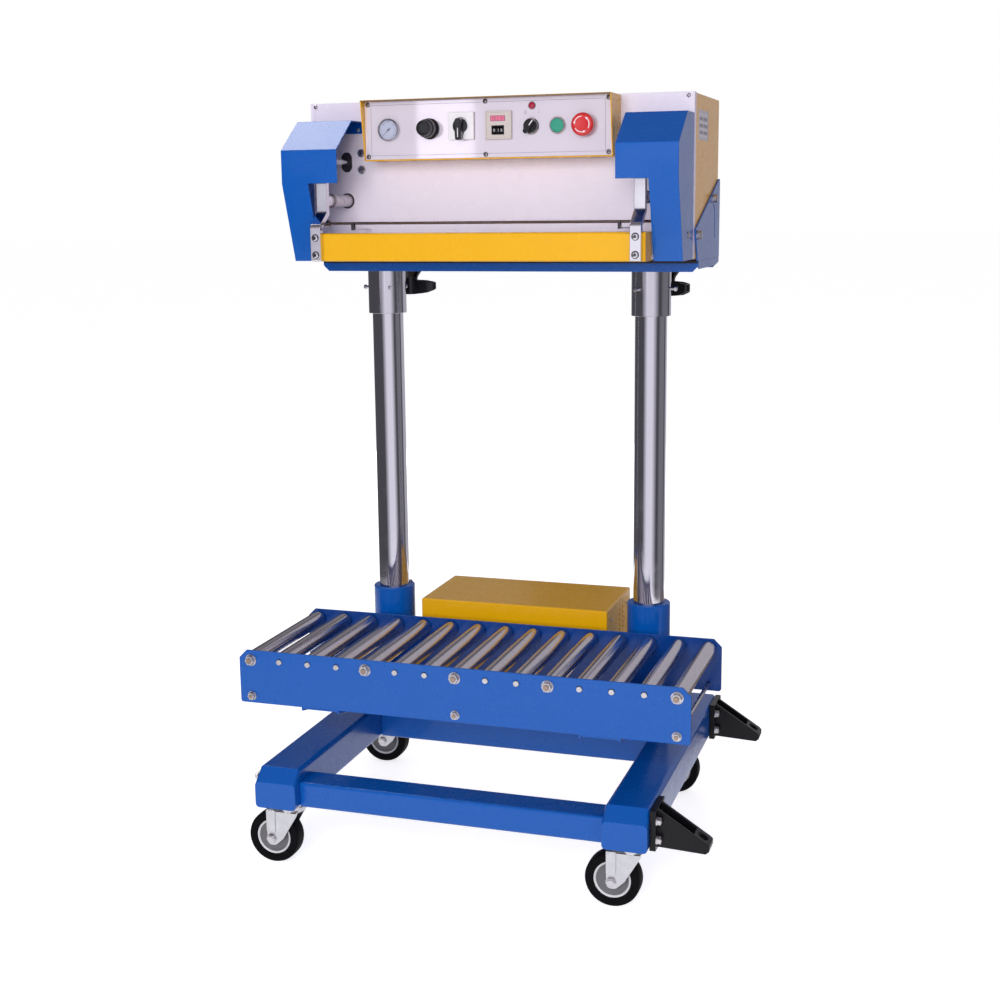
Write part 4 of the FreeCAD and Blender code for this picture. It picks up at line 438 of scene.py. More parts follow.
class Shape:
    """A mesh drawn in machine millimetres and handed over in the frame's metres."""

    def __init__(self) -> None:
        """Starts with nothing."""
        self.bm = bmesh.new()

    @staticmethod
    def turned(axis: Axis, radius: float, angle: float, station: float, centre: Point) -> Vector:
        """A point at a radius and angle about an axis through centre, at a station along it."""
        a, b = radius * math.cos(angle), radius * math.sin(angle)
        x, y, z = centre
        if axis is Axis.X:
            return at(station, y + a, z + b)
        if axis is Axis.Y:
            return at(x + a, station, z + b)
        return at(x + a, y + b, station)

    def lathe(self, profile: Sequence[Flat], centre: Point, axis: Axis, steps: int = 72) -> "Shape":
        """Turns a closed outline of radius and station about an axis.

        Args:
            profile: corners as (radius, station); a radius of 0 lies on the axis.
            centre: a point on the axis.
            axis: its direction.
            steps: how many flats the circle has.

        Returns:
            This shape.
        """
        rings = []
        for radius, station in profile:
            if radius < 1e-6:
                rings.append([self.bm.verts.new(self.turned(axis, 0.0, 0.0, station, centre))])
            else:
                ring = [self.bm.verts.new(self.turned(axis, radius, math.tau * k / steps, station, centre))
                        for k in range(steps)]
                rings.append(ring)
        for one, two in zip(rings, rings[1:] + rings[:1]):
            if len(one) == 1 and len(two) == 1:
                continue
            for k in range(steps):
                n = (k + 1) % steps
                if len(one) == 1:
                    self.bm.faces.new((one[0], two[n], two[k]))
                elif len(two) == 1:
                    self.bm.faces.new((one[k], one[n], two[0]))
                else:
                    self.bm.faces.new((one[k], one[n], two[n], two[k]))
        return self

    def prism(self, outline: Sequence[Flat], axis: Axis, start: float, end: float) -> "Shape":
        """Extrudes a flat outline along an axis.

        Args:
            outline: corners in the two other axes, in the order X, Y, Z.
            axis: the direction of extrusion.
            start: its first station.
            end: its last station.

        Returns:
            This shape.
        """
        def corner(u: float, v: float, w: float) -> Vector:
            """One corner from its two drawn coordinates and its station."""
            if axis is Axis.X:
                return at(w, u, v)
            if axis is Axis.Y:
                return at(u, w, v)
            return at(u, v, w)

        low = [self.bm.verts.new(corner(u, v, start)) for u, v in outline]
        high = [self.bm.verts.new(corner(u, v, end)) for u, v in outline]
        self.bm.faces.new(low)
        self.bm.faces.new(list(reversed(high)))
        count = len(low)
        for k in range(count):
            n = (k + 1) % count
            self.bm.faces.new((low[k], high[k], high[n], low[n]))
        return self

    def block(self, low: Point, high: Point) -> "Shape":
        """A box between two corners."""
        outline = [(low[0], low[1]), (high[0], low[1]), (high[0], high[1]), (low[0], high[1])]
        return self.prism(outline, Axis.Z, low[2], high[2])

    def border(self, axis: Axis, low: Flat, high: Flat, wide: float, near: float, far: float) -> "Shape":
        """Four bars round an upright rectangle.

        Args:
            axis: the direction that it faces, X or Y.
            low: its lower left corner.
            high: its upper right corner.
            wide: width of the bars.
            near: first station along the axis.
            far: last station.

        Returns:
            This shape.
        """
        (left, bottom), (right, top) = low, high
        for (u0, z0), (u1, z1) in ((low, (right, bottom + wide)), ((left, top - wide), high),
                                   (low, (left + wide, top)), ((right - wide, bottom), high)):
            if axis is Axis.X:
                self.block((near, u0, z0), (far, u1, z1))
            else:
                self.block((u0, near, z0), (u1, far, z1))
        return self

    def rod(self, centre: Point, axis: Axis, radius: float, start: float, end: float, edge: float = 0.5,
            steps: int = 48) -> "Shape":
        """A round bar with small chamfers at both ends."""
        profile = [(0.0, start), (radius - edge, start), (radius, start + edge), (radius, end - edge),
                   (radius - edge, end), (0.0, end)]
        return self.lathe(profile, centre, axis, steps)

    def node(self, name: str) -> "Shape":
        """Takes a copy of a CAD node, with its loose triangles merged into faces."""
        self.bm.from_mesh(bpy.data.objects[name].data)
        bmesh.ops.remove_doubles(self.bm, verts=self.bm.verts, dist=1e-5)
        bmesh.ops.dissolve_limit(self.bm, angle_limit=math.radians(0.6), verts=self.bm.verts,
                                 edges=self.bm.edges)
        return self

    def made(self, name: str, finish: Finish, bevel: float = 0.0, segments: int = 2,
             recalculate: bool = True, clamp: bool = False) -> bpy.types.Object:
        """Hands over the finished object.

        Args:
            name: the piece's name.
            finish: its finish.
            bevel: width of its rounded edges in millimetres, or 0 for none.
            segments: steps of that rounding.
            recalculate: turns all faces outwards.
            clamp: keeps the rounding smaller than the shortest edge.

        Returns:
            The new object.
        """
        if recalculate:
            bmesh.ops.recalc_face_normals(self.bm, faces=self.bm.faces)
        mesh = bpy.data.meshes.new(name)
        self.bm.to_mesh(mesh)
        self.bm.free()
        mesh.polygons.foreach_set("use_smooth", [True] * len(mesh.polygons))
        mesh.materials.append(finish.build())
        thing = bpy.data.objects.new(name, mesh)
        bpy.context.scene.collection.objects.link(thing)
        if bevel > 0.0:
            rounding = thing.modifiers.new("rounded_edges", "BEVEL")
            rounding.width = bevel * MM
            rounding.segments = segments
            rounding.limit_method = "ANGLE"
            rounding.angle_limit = math.radians(BEVEL_ANGLE)
            rounding.use_clamp_overlap = clamp
            smoothing = thing.modifiers.new("flat_faces_stay_flat", "WEIGHTED_NORMAL")
            smoothing.keep_sharp = True
        else:
            mesh.set_sharp_from_angle(angle=math.radians(SHARP_ANGLE))
        return thing


def settle(thing: bpy.types.Object, body: str, finish: Finish, *nodes: str) -> bpy.types.Object:
    """Makes a piece ride on a body and stand for CAD nodes.

    Args:
        thing: the piece.
        body: the CAD body that it moves with.
        finish: not used.
        nodes: the CAD nodes that it replaces.

    Returns:
        The same piece.
    """
    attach(thing, body)
    if nodes:
        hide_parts(*nodes)
    LOG.info("piece %s rides on %s", thing.name, body)
    return thing


def dressed(node: str, body: str, finish: Finish, bevel: float = 0.7, segments: int = 2,
            clamp: bool = False) -> bpy.types.Object:
    """Rounds the edges of a CAD node's copy and gives it a finish.

    Args:
        node: the CAD node.
        body: the body that it rides on.
        finish: its finish.
        bevel: width of the rounding in millimetres.
        segments: steps of the rounding.
        clamp: keeps the rounding smaller than the shortest edge.

    Returns:
        The piece that stands for the node.
    """
    piece = Shape().node(node).made(node + "_skin", finish, bevel, segments, recalculate=False, clamp=clamp)
    return settle(piece, body, finish, node)


def repaint(piece: bpy.types.Object, finish: Finish, inside: Callable[[Vector], bool]) -> None:
    """Gives another finish to the faces whose middle passes a test in machine millimetres.

    Args:
        piece: the object to paint.
        finish: the second finish.
        inside: the test.
    """
    piece.data.materials.append(finish.build())
    index = len(piece.data.materials) - 1
    for face in piece.data.polygons:
        if inside(face.center / MM - SHIFT):
            face.material_index = index


# Geometry node trees for what repeats


class Tree:
    """A geometry node tree with named inputs that ends in real geometry with a material."""

    def __init__(self, name: str, sizes: Sequence[str]) -> None:
        """Starts a tree.

        Args:
            name: its name.
            sizes: the names of its number inputs.
        """
        self.group = bpy.data.node_groups.new(name, "GeometryNodeTree")
        face = self.group.interface
        face.new_socket("Geometry", in_out="INPUT", socket_type="NodeSocketGeometry")
        for size in sizes:
            face.new_socket(size, in_out="INPUT", socket_type="NodeSocketFloat")
        face.new_socket("Facing", in_out="INPUT", socket_type="NodeSocketVector")
        face.new_socket("Finish", in_out="INPUT", socket_type="NodeSocketMaterial")
        face.new_socket("Geometry", in_out="OUTPUT", socket_type="NodeSocketGeometry")
        self.entry = self.add("NodeGroupInput")
        self.exit = self.add("NodeGroupOutput")

    def add(self, kind: str, **inputs: object) -> bpy.types.Node:
        """Adds a node and sets its plain inputs; a pair of node and output name is linked instead."""
        node = self.group.nodes.new(kind)
        for name, value in inputs.items():
            socket = node.inputs[name.replace("_", " ")]
            if isinstance(value, tuple) and isinstance(value[0], bpy.types.Node):
                self.group.links.new(value[0].outputs[value[1]], socket)
            else:
                socket.default_value = value
        return node

    def size(self, name: str) -> tuple[bpy.types.Node, str]:
        """One of the tree's own inputs, for linking."""
        return (self.entry, name)

    def maths(self, operation: str, a: object, b: object) -> tuple[bpy.types.Node, str]:
        """A sum, product or other step on two numbers or links."""
        node = self.group.nodes.new("ShaderNodeMath")
        node.operation = operation
        for socket, value in zip(node.inputs, (a, b)):
            if isinstance(value, tuple):
                self.group.links.new(value[0].outputs[value[1]], socket)
            else:
                socket.default_value = value
        return (node, "Value")

    def drum(self, sides: int, radius: object, height: object, base: object,
             top: Optional[object] = None) -> bpy.types.Node:
        """A prism or cone that stands on a height above the seat.

        Args:
            sides: how many sides it has.
            radius: its lower radius.
            height: its height.
            base: how far its underside is above the seat.
            top: its upper radius, or None for the same.

        Returns:
            The moved geometry's node.
        """
        body = self.add("GeometryNodeMeshCone", Vertices=sides, Radius_Bottom=radius,
                        Radius_Top=radius if top is None else top, Depth=height)
        lift = self.add("ShaderNodeCombineXYZ", Z=base)
        return self.add("GeometryNodeTransform", Geometry=(body, "Mesh"), Translation=(lift, "Vector"))

    def close(self, parts: Sequence[bpy.types.Node],
              outward: Optional[tuple[bpy.types.Node, str]] = None) -> bpy.types.NodeTree:
        """Puts the joined parts on every point, turns them to face out and makes them real.

        Args:
            parts: the nodes whose geometry makes one item.
            outward: a direction for each point's X, about an axis along Y; None faces Z along the input.

        Returns:
            The finished tree.
        """
        join = self.group.nodes.new("GeometryNodeJoinGeometry")
        for part in parts:
            self.group.links.new(part.outputs["Geometry"], join.inputs["Geometry"])
        turn = self.add("FunctionNodeAlignRotationToVector", Vector=outward or self.size("Facing"))
        turn.axis = "X" if outward else "Z"
        turn.pivot_axis = "Y" if outward else "AUTO"
        spots = self.add("GeometryNodeInstanceOnPoints", Points=self.size("Geometry"),
                         Instance=(join, "Geometry"),
                         Rotation=(turn, "Rotation"))
        real = self.add("GeometryNodeRealizeInstances", Geometry=(spots, "Instances"))
        paint = self.add("GeometryNodeSetMaterial", Geometry=(real, "Geometry"), Material=self.size("Finish"))
        self.group.links.new(paint.outputs["Geometry"], self.exit.inputs["Geometry"])
        return self.group


def hex_fastener_tree() -> bpy.types.NodeTree:
    """A hexagon nut or bolt head with chamfered top, washer and a thread end that stands out.

    Returns:
        The tree.
    """
    tree = Tree("hex_fastener", ("Washer Radius", "Washer Height", "Hex Radius", "Hex Height",
                                 "Thread Radius",
                                 "Thread Height"))
    washer_height = tree.size("Washer Height")
    hex_height = tree.size("Hex Height")
    chamfer = 0.16
    body_height = tree.maths("MULTIPLY", hex_height, 1.0 - chamfer)
    cap_height = tree.maths("MULTIPLY", hex_height, chamfer)
    cap_base = tree.maths("ADD", washer_height, body_height)
    hex_top = tree.maths("ADD", washer_height, hex_height)
    washer = tree.drum(36, tree.size("Washer Radius"), washer_height, 0.0)
    body = tree.drum(6, tree.size("Hex Radius"), body_height, washer_height)
    cap = tree.drum(6, tree.size("Hex Radius"), cap_height, cap_base,
                    tree.maths("MULTIPLY", tree.size("Hex Radius"), 0.89))
    thread = tree.drum(24, tree.size("Thread Radius"), tree.size("Thread Height"), hex_top)
    point = tree.drum(24, tree.size("Thread Radius"), 0.0006,
                      tree.maths("ADD", hex_top, tree.size("Thread Height")),
                      tree.maths("MULTIPLY", tree.size("Thread Radius"), 0.86))
    return tree.close([washer, body, cap, thread, point])


def hex_sizes(washer: Flat, head: Flat, thread: Flat) -> dict[str, float]:
    """The inputs of the hexagon tree, from pairs of radius and height in millimetres."""
    sizes = {}
    for part, (radius, height) in zip(("Washer", "Hex", "Thread"), (washer, head, thread)):
        sizes[part + " Radius"] = radius
        sizes[part + " Height"] = height
    return sizes


def round_head_tree() -> bpy.types.NodeTree:
    """A low round screw head with a stepped crown.

    Returns:
        The tree.
    """
    tree = Tree("round_head", ("Radius", "Height"))
    radius, height = tree.size("Radius"), tree.size("Height")
    foot, waist, crown = (tree.maths("MULTIPLY", height, share) for share in (0.45, 0.35, 0.20))
    shoulder, tip = (tree.maths("MULTIPLY", radius, share) for share in (0.84, 0.60))
    low = tree.drum(32, radius, foot, 0.0)
    middle = tree.drum(32, radius, waist, foot, shoulder)
    top = tree.drum(32, shoulder, crown, tree.maths("ADD", foot, waist), tip)
    return tree.close([low, middle, top])


def disc_tree() -> bpy.types.NodeTree:
    """A thin disc with a chamfer, for axle ends and other round faces.

    Returns:
        The tree.
    """
    tree = Tree("round_end", ("Radius", "Height"))
    radius, height = tree.size("Radius"), tree.size("Height")
    foot = tree.maths("MULTIPLY", height, 0.7)
    low = tree.drum(32, radius, foot, 0.0)
    top = tree.drum(32, radius, tree.maths("MULTIPLY", height, 0.3), foot,
                    tree.maths("MULTIPLY", radius, 0.88))
    return tree.close([low, top])


def dial_mark_tree() -> bpy.types.NodeTree:
    """Bars that point away from the middle of an upright dial.

    Returns:
        The tree.
    """
    tree = Tree("dial_marks", ("Length", "Width"))
    size = tree.add("ShaderNodeCombineXYZ", X=tree.size("Length"), Y=tree.size("Width"), Z=tree.size("Width"))
    bar = tree.add("GeometryNodeMeshCube", Size=(size, "Vector"))
    place = tree.add("GeometryNodeTransform", Geometry=(bar, "Mesh"))
    outward = tree.group.nodes.new("ShaderNodeVectorMath")
    outward.operation = "SUBTRACT"
    tree.group.links.new(tree.add("GeometryNodeInputPosition").outputs["Position"], outward.inputs[0])
    tree.group.links.new(tree.entry.outputs["Facing"], outward.inputs[1])
    return tree.close([place], (outward, "Vector"))


class Trees:
    """The shared trees, each built once."""

    def __init__(self) -> None:
        """Builds every tree."""
        self.hexes = hex_fastener_tree()
        self.heads = round_head_tree()
        self.discs = disc_tree()
        self.marks = dial_mark_tree()


def grown(name: str, tree: bpy.types.NodeTree, spots: Iterable[Vector], facing: Point, finish: Finish,
          sizes: dict[str, float]) -> bpy.types.Object:
    """Grows a tree's item on points and turns the result into a plain mesh.

    Args:
        name: the piece's name.
        tree: the geometry node tree.
        spots: where the items sit, in metres.
        facing: the direction that they face.
        finish: their finish.
        sizes: the tree's inputs in millimetres.

    Returns:
        The plain mesh object.
    """
    seed = bpy.data.meshes.new(name + "_seed")
    seed.from_pydata([tuple(spot) for spot in spots], [], [])
    carrier = bpy.data.objects.new(name + "_seed", seed)
    bpy.context.scene.collection.objects.link(carrier)
    change = carrier.modifiers.new("grown", "NODES")
    change.node_group = tree
    for item in tree.interface.items_tree:
        if item.item_type != "SOCKET" or item.in_out != "INPUT":
            continue
        if item.name in sizes:
            change[item.identifier] = sizes[item.name] * MM
        elif item.name == "Facing":
            change[item.identifier] = facing
        elif item.name == "Finish":
            change[item.identifier] = finish.build()
    bpy.context.view_layer.update()
    evaluated = carrier.evaluated_get(bpy.context.evaluated_depsgraph_get())
    mesh = bpy.data.meshes.new_from_object(evaluated)
    mesh.name = name
    carrier.modifiers.clear()
    bpy.data.objects.remove(carrier)
    thing = bpy.data.objects.new(name, mesh)
    bpy.context.scene.collection.objects.link(thing)
    if not mesh.materials:
        mesh.materials.append(finish.build())
    mesh.polygons.foreach_set("use_smooth", [True] * len(mesh.polygons))
    mesh.set_sharp_from_angle(angle=math.radians(GROWN_SHARP_ANGLE))
    return thing


def joined(name: str, things: Sequence[bpy.types.Object]) -> bpy.types.Object:
    """Joins plain mesh objects into one, keeping their finishes.

    Args:
        name: the name of the result.
        things: the objects; they are used up.

    Returns:
        The joined object.
    """
    with bpy.context.temp_override(active_object=things[0], selected_editable_objects=list(things),
                                   selected_objects=list(things)):
        bpy.ops.object.join()
    things[0].name = name
    things[0].data.name = name
    return things[0]


# The machine


@dataclass
class RollerTable:
    """The roller table: side plates, rollers, axle ends, nuts and tie rods."""

    trees: Trees
    first: float = -399.0
    pitch: float = 57.0
    count: int = 15
    roller_z: float = 386.0
    tie_z: float = 317.5
    roller_radius: float = 15.0
    front: float = 0.0
    back: float = 306.0
    threaded: tuple[int, ...] = (0, 4, 7, 10, 14)
    tied: tuple[int, ...] = (0, 7, 14)

    def station(self, index: int) -> float:
        """X of one roller."""
        return self.first + self.pitch * index

    def plates(self) -> None:
        """Dresses both side plates and paints shade on their inner faces with a darker blue."""
        for node in ("conveyor_front_plate", "conveyor_rear_plate"):
            plate = dressed(node, "base_frame", BLUE, 0.8)
            # Painted shade: the inner faces below the top edges take the darker blue.
            repaint(plate, BLUE_IN_PAINTED_SHADE, lambda spot: 1.0 < spot.y < self.back - 1.0 and spot.z < 404.0)

    def rollers(self) -> None:
        """Turns each roller with its rounded shoulders and recessed end plugs."""
        radius, half, middle = self.roller_radius, 146.0, 153.0
        profile = mirrored([(5.6, half), (8.0, half), (8.4, half - 1.0), (11.2, half - 1.0), (11.5, half),
                            (radius - 1.4, half), (radius - 0.5, half - 0.35), (radius, half - 1.4),
                            (radius, half - 2.6)], middle)
        for index in range(self.count):
            name = "roller_%02d" % (index + 1)
            centre = (self.station(index), 0.0, self.roller_z)
            tube = Shape().lathe(profile, centre, Axis.Y, 64).made(name + "_tube", ROLLER_STEEL)
            settle(tube, name, ROLLER_STEEL, name)

    def axles(self) -> None:
        """Turns the axles, whose ends show in the side plates."""
        shape = Shape()
        for index in range(self.count):
            reach = 11.0 if index in self.threaded else 2.5
            shape.rod((self.station(index), 0.0, self.roller_z), Axis.Y, 5.5, -reach, self.back + reach, 0.8,
                      32)
        rods = settle(shape.made("axle_rods", ZINC), "base_frame", ZINC, "roller_axles")
        repaint(rods, AXLE_END, lambda spot: not -7.0 < spot.y < self.back + 7.0)

    def ties(self) -> None:
        """Makes the tie rods and grows the nuts and washers on both plates."""
        shape = Shape()
        for index in self.tied:
            shape.rod((self.station(index), 0.0, self.tie_z), Axis.Y, 4.0, -9.5, self.back + 9.5, 0.6, 32)
        rods = shape.made("tie_rods", ZINC)
        repaint(rods, AXLE_END, lambda spot: not -7.6 < spot.y < self.back + 7.6)
        parts = [rods]
        for tag, y, facing in (("front", self.front, (0.0, -1.0, 0.0)), ("rear", self.back, (0.0, 1.0, 0.0))):
            large = [at(self.station(i), y, self.roller_z) for i in self.threaded]
            small = [at(self.station(i), y, self.tie_z) for i in self.tied]
            parts.append(grown("axle_nuts_" + tag, self.trees.hexes, large, facing, ZINC,
                               hex_sizes((11.0, 1.6), (9.6, 7.4), (4.0, 0.1))))
            parts.append(grown("tie_nuts_" + tag, self.trees.hexes, small, facing, ZINC,
                               hex_sizes((8.5, 1.6), (7.4, 5.8), (3.0, 0.1))))
        settle(joined("tie_rods_and_nuts", parts), "base_frame", ZINC, "tie_bolts")

    def build(self) -> None:
        """Builds the whole table."""
        self.plates()
        self.rollers()
        self.axles()
        self.ties()


@dataclass
class Columns:
    """The two ground columns."""

    radius: float = 30.0
    bore: float = 26.0
    bottom: float = 202.0
    top: float = 1180.0

    def build(self) -> None:
        """Turns both tubes."""
        shape = Shape()
        for side in Side:
            profile = [(self.bore, self.bottom), (self.radius, self.bottom), (self.radius, self.top - 1.5),
                       (self.radius - 1.5, self.top), (self.bore, self.top)]
            shape.lathe(profile, (side.value * COLUMN_X, COLUMN_Y, 0.0), Axis.Z, 128)
        settle(shape.made("column_tubes", COLUMN_STEEL), "base_frame", COLUMN_STEEL, "columns")


@dataclass
class BaseFrame:
    """Legs, beams, sockets, foot brackets and their bolts."""

    trees: Trees
    leg_out: float = 365.0
    flange: float = 11.0
    bracket_y: tuple[float, float] = (-20.0, 550.0)
    bolt_y: float = 28.6
    bolt_z: tuple[float, float] = (148.5, 182.0)
    screw_offset: float = 25.3

    def bolt_spots(self, x: float) -> list[Vector]:
        """Seats of the bracket bolts on a face at X."""
        return [at(x, middle + side * self.bolt_y, z) for middle in self.bracket_y for side in (-1, 1)
                for z in self.bolt_z]

    def build(self) -> None:
        """Dresses the welded frame and grows its bolts."""
        dressed("side_legs", "base_frame", BLUE, 1.2, 3)
        dressed("cross_beams", "base_frame", BLUE, 0.8)
        dressed("column_sockets", "base_frame", BLUE, 1.0)
        dressed("foot_brackets", "base_frame", BRACKET, 1.0, 3)
        sizes = hex_sizes((8.4, 2.0), (7.5, 6.2), (3.6, 0.2))
        right = grown("bracket_bolts", self.trees.hexes, self.bolt_spots(self.leg_out + self.flange),
                      (1.0, 0.0, 0.0), ZINC, sizes)
        left = grown("left_leg_bolts", self.trees.hexes, self.bolt_spots(-self.leg_out), (-1.0, 0.0, 0.0),
                     ZINC,
                     sizes)
        seats = [at(side.value * (325.0 + a * 27.0), y + b * 41.0, 127.0) for side in Side
                 for y in (-2.0, 543.0) for a in (-1, 1) for b in (-1, 1)]
        under = grown("caster_bolts", self.trees.hexes, seats, (0.0, 0.0, -1.0), ZINC,
                      hex_sizes((7.2, 0.6), (7.0, 4.5), (3.0, 0.1)))
        grubs = Shape()
        for side in Side:
            grubs.rod((side.value * (COLUMN_X - self.screw_offset), COLUMN_Y + self.screw_offset, 0.0),
                      Axis.Z,
                      4.0, 440.0, 450.5, 0.8, 24)
        set_screws = grubs.made("socket_screws", ZINC)
        settle(joined("frame_fasteners", [right, left, under, set_screws]), "base_frame", ZINC, "frame_bolts")


@dataclass
class Casters:
    """Four swivel casters: plate with its cup, pressed fork, axle and wheel."""

    trees: Trees
    places: tuple[tuple[str, float, float], ...] = (
        ("front_left", -325.0, -2.0), ("front_right", 325.0, -2.0),
        ("rear_left", -325.0, 543.0), ("rear_right", 325.0, 543.0))
    trail: float = 34.0
    axle_z: float = 50.0
    tyre: tuple[Flat, ...] = ((33.2, 13.4), (36.0, 14.2), (42.0, 15.2), (46.5, 15.6), (48.6, 14.4),
                              (49.7, 11.5),
                              (50.0, 6.0))
    rim: tuple[Flat, ...] = ((28.6, 11.0), (30.6, 13.6), (32.4, 14.3), (33.5, 13.4))
    hub: tuple[Flat, ...] = ((6.1, 18.4), (10.4, 18.4), (11.4, 17.6), (12.0, 11.5), (19.0, 9.5), (26.0, 10.5),
                             (29.5, 12.4))

    def wheel(self, place: str, x: float, y: float) -> None:
        """Turns the tyre, the rim and the hub of one wheel."""
        centre = (x - self.trail, 0.0, self.axle_z)
        body = "wheel_" + place
        tyre = Shape().lathe(mirrored(self.tyre, y), centre, Axis.Y, 96)
        settle(tyre.made("tyre_" + place, RUBBER), body, RUBBER, "caster_wheel_" + place)
        rim = Shape().lathe(mirrored(self.rim, y), centre, Axis.Y, 96)
        settle(rim.made("rim_" + place, RIM_WHITE), body, RIM_WHITE)
        hub = Shape().lathe(mirrored(self.hub, y), centre, Axis.Y, 96)
        settle(hub.made("hub_" + place, HUB_GREY), body, HUB_GREY)

    def fork(self, place: str, x: float, y: float) -> None:
        """Presses the fork: crown, two cheeks with folded rims, race and axle."""
        body = "fork_" + place
        axle_x = x - self.trail
        shape = Shape()
        cheek = [(axle_x - 9.0, 107.0), (axle_x - 9.0, 45.0), (axle_x - 7.2, 40.5), (axle_x - 3.5, 37.6),
                 (axle_x + 3.0, 37.0), (axle_x + 9.0, 38.2), (axle_x + 24.0, 52.0), (axle_x + 52.6, 100.4),
                 (axle_x + 53.0, 107.0)]
        rib = [(axle_x - 9.0, 107.0), (axle_x - 9.0, 66.0), (axle_x - 8.0, 63.2), (axle_x - 5.0, 62.0),
               (axle_x + 5.0, 62.0), (axle_x + 8.0, 63.2), (axle_x + 9.0, 66.0), (axle_x + 9.0, 107.0)]
        for side in Side:
            near, far = sorted((y + side.value * 20.0, y + side.value * 23.0))
            shape.prism(cheek, Axis.Y, near, far)
            near, far = sorted((y + side.value * 22.9, y + side.value * 25.0))
            shape.prism(rib, Axis.Y, near, far)
        shape.prism([(axle_x - 9.0, 103.0), (axle_x + 53.0, 103.0), (axle_x + 53.0, 107.0),
                     (axle_x - 9.0, 107.0)], Axis.Y, y - 23.0, y + 23.0)
        pressed = shape.made("fork_sheet_" + place, GALVANISED, 1.0, 3)
        settle(pressed, body, GALVANISED, "caster_fork_" + place)
        turned = Shape().lathe([
            (0.0, 103.2), (23.0, 103.2), (24.0, 104.5), (24.0, 112.0), (22.5, 114.0), (24.0, 116.0),
            (24.0, 118.0), (23.0, 118.7), (6.0, 118.7), (6.0, 125.7), (0.0, 125.7)], (x, y, 0.0), Axis.Z, 64)
        settle(turned.made("race_" + place, GALVANISED), body, GALVANISED)
        bolt = Shape().rod((axle_x, 0.0, self.axle_z), Axis.Y, 6.0, y - 28.9, y + 28.9, 0.6, 32).made(
            "axle_pin_" + place, ZINC)
        parts = [bolt]
        for tag, face, way in (("near", y - 23.0, -1.0), ("far", y + 23.0, 1.0)):
            parts.append(grown("axle_nut_%s_%s" % (tag, place), self.trees.hexes,
                               [at(axle_x, face, self.axle_z)], (0.0, way, 0.0), ZINC,
                               hex_sizes((9.5, 0.8), (9.0, 3.9), (5.0, 0.1))))
        settle(joined("wheel_axle_" + place, parts), body, ZINC)

    def build(self) -> None:
        """Builds plates, forks and wheels."""
        dressed("caster_plates", "base_frame", GALVANISED, 0.8)
        for place, x, y in self.places:
            self.fork(place, x, y)
            self.wheel(place, x, y)


@dataclass
class PowerBox:
    """The transformer box behind the table."""

    trees: Trees
    half: float = 192.0
    front: float = 344.0
    rear: float = 544.0
    top: float = 431.0

    def build(self) -> None:
        """Dresses the cover and what is inside, and grows the cover screws."""
        box = dressed("power_box", "base_frame", YELLOW, 0.6)

        def core(spot: Vector) -> bool:
            """True inside the cover, at the laminated core."""
            return abs(spot.x) < 62.5 and 370.0 < spot.y < 520.0 and 205.5 < spot.z < 320.0

        def coil(spot: Vector) -> bool:
            """True at the winding."""
            return abs(spot.x) < 30.5 and 371.0 < spot.y < 519.0 and 227.0 < spot.z < 293.0

        repaint(box, IRON, core)
        repaint(box, COPPER, coil)
        parts = []
        for side in Side:
            seats = [at(side.value * self.half, y, z) for y in (self.front + 33.0, self.rear - 33.0)
                     for z in (405.0, 228.0)]
            parts.append(grown("box_screws_%s" % side.name.lower(), self.trees.heads, seats,
                               (float(side.value), 0.0, 0.0), ZINC, {"Radius": 3.6, "Height": 2.0}))
        settle(joined("box_cover_screws", parts), "base_frame", ZINC)


@dataclass(frozen=True)
class Levers:
    """The two clamp levers under the tray."""

    names: tuple[str, str] = ("left_clamp_lever", "right_clamp_lever")
    turns: tuple[float, float] = (0.0, -30.0)
    hub: float = 16.5
    reach: float = 56.0
    middle: float = 1045.0
    rise: float = 11.0
    fall: float = 5.0

    def build(self) -> None:
        """Tapers each moulded arm towards its tip, flares its collar and rounds it all."""
        for name, x, turn in zip(self.names, LEVER_STUDS, self.turns):
            shape = Shape().node(name)
            ahead = Vector((math.cos(math.radians(turn)), math.sin(math.radians(turn))))
            for vert in shape.bm.verts:
                spot = vert.co / MM - SHIFT
                out = (Vector((spot.x - x, spot.y - LEVER_Y)) @ ahead - self.hub) / (self.reach - self.hub)
                if out > 0.0 and spot.z < 1060.0:
                    change = self.rise if spot.z < self.middle else -self.fall
                    vert.co.z += change * min(1.0, out) ** 2 * MM
            shape.lathe([(15.8, 1064.0), (16.6, 1064.0), (17.6, 1067.0), (24.8, 1077.0), (25.4, 1078.2),
                         (15.8, 1078.2)], (x, LEVER_Y, 0.0), Axis.Z, 64)
            piece = shape.made(name + "_skin", LEVER, 2.0, 4, clamp=True)
            settle(piece, name, LEVER, name)


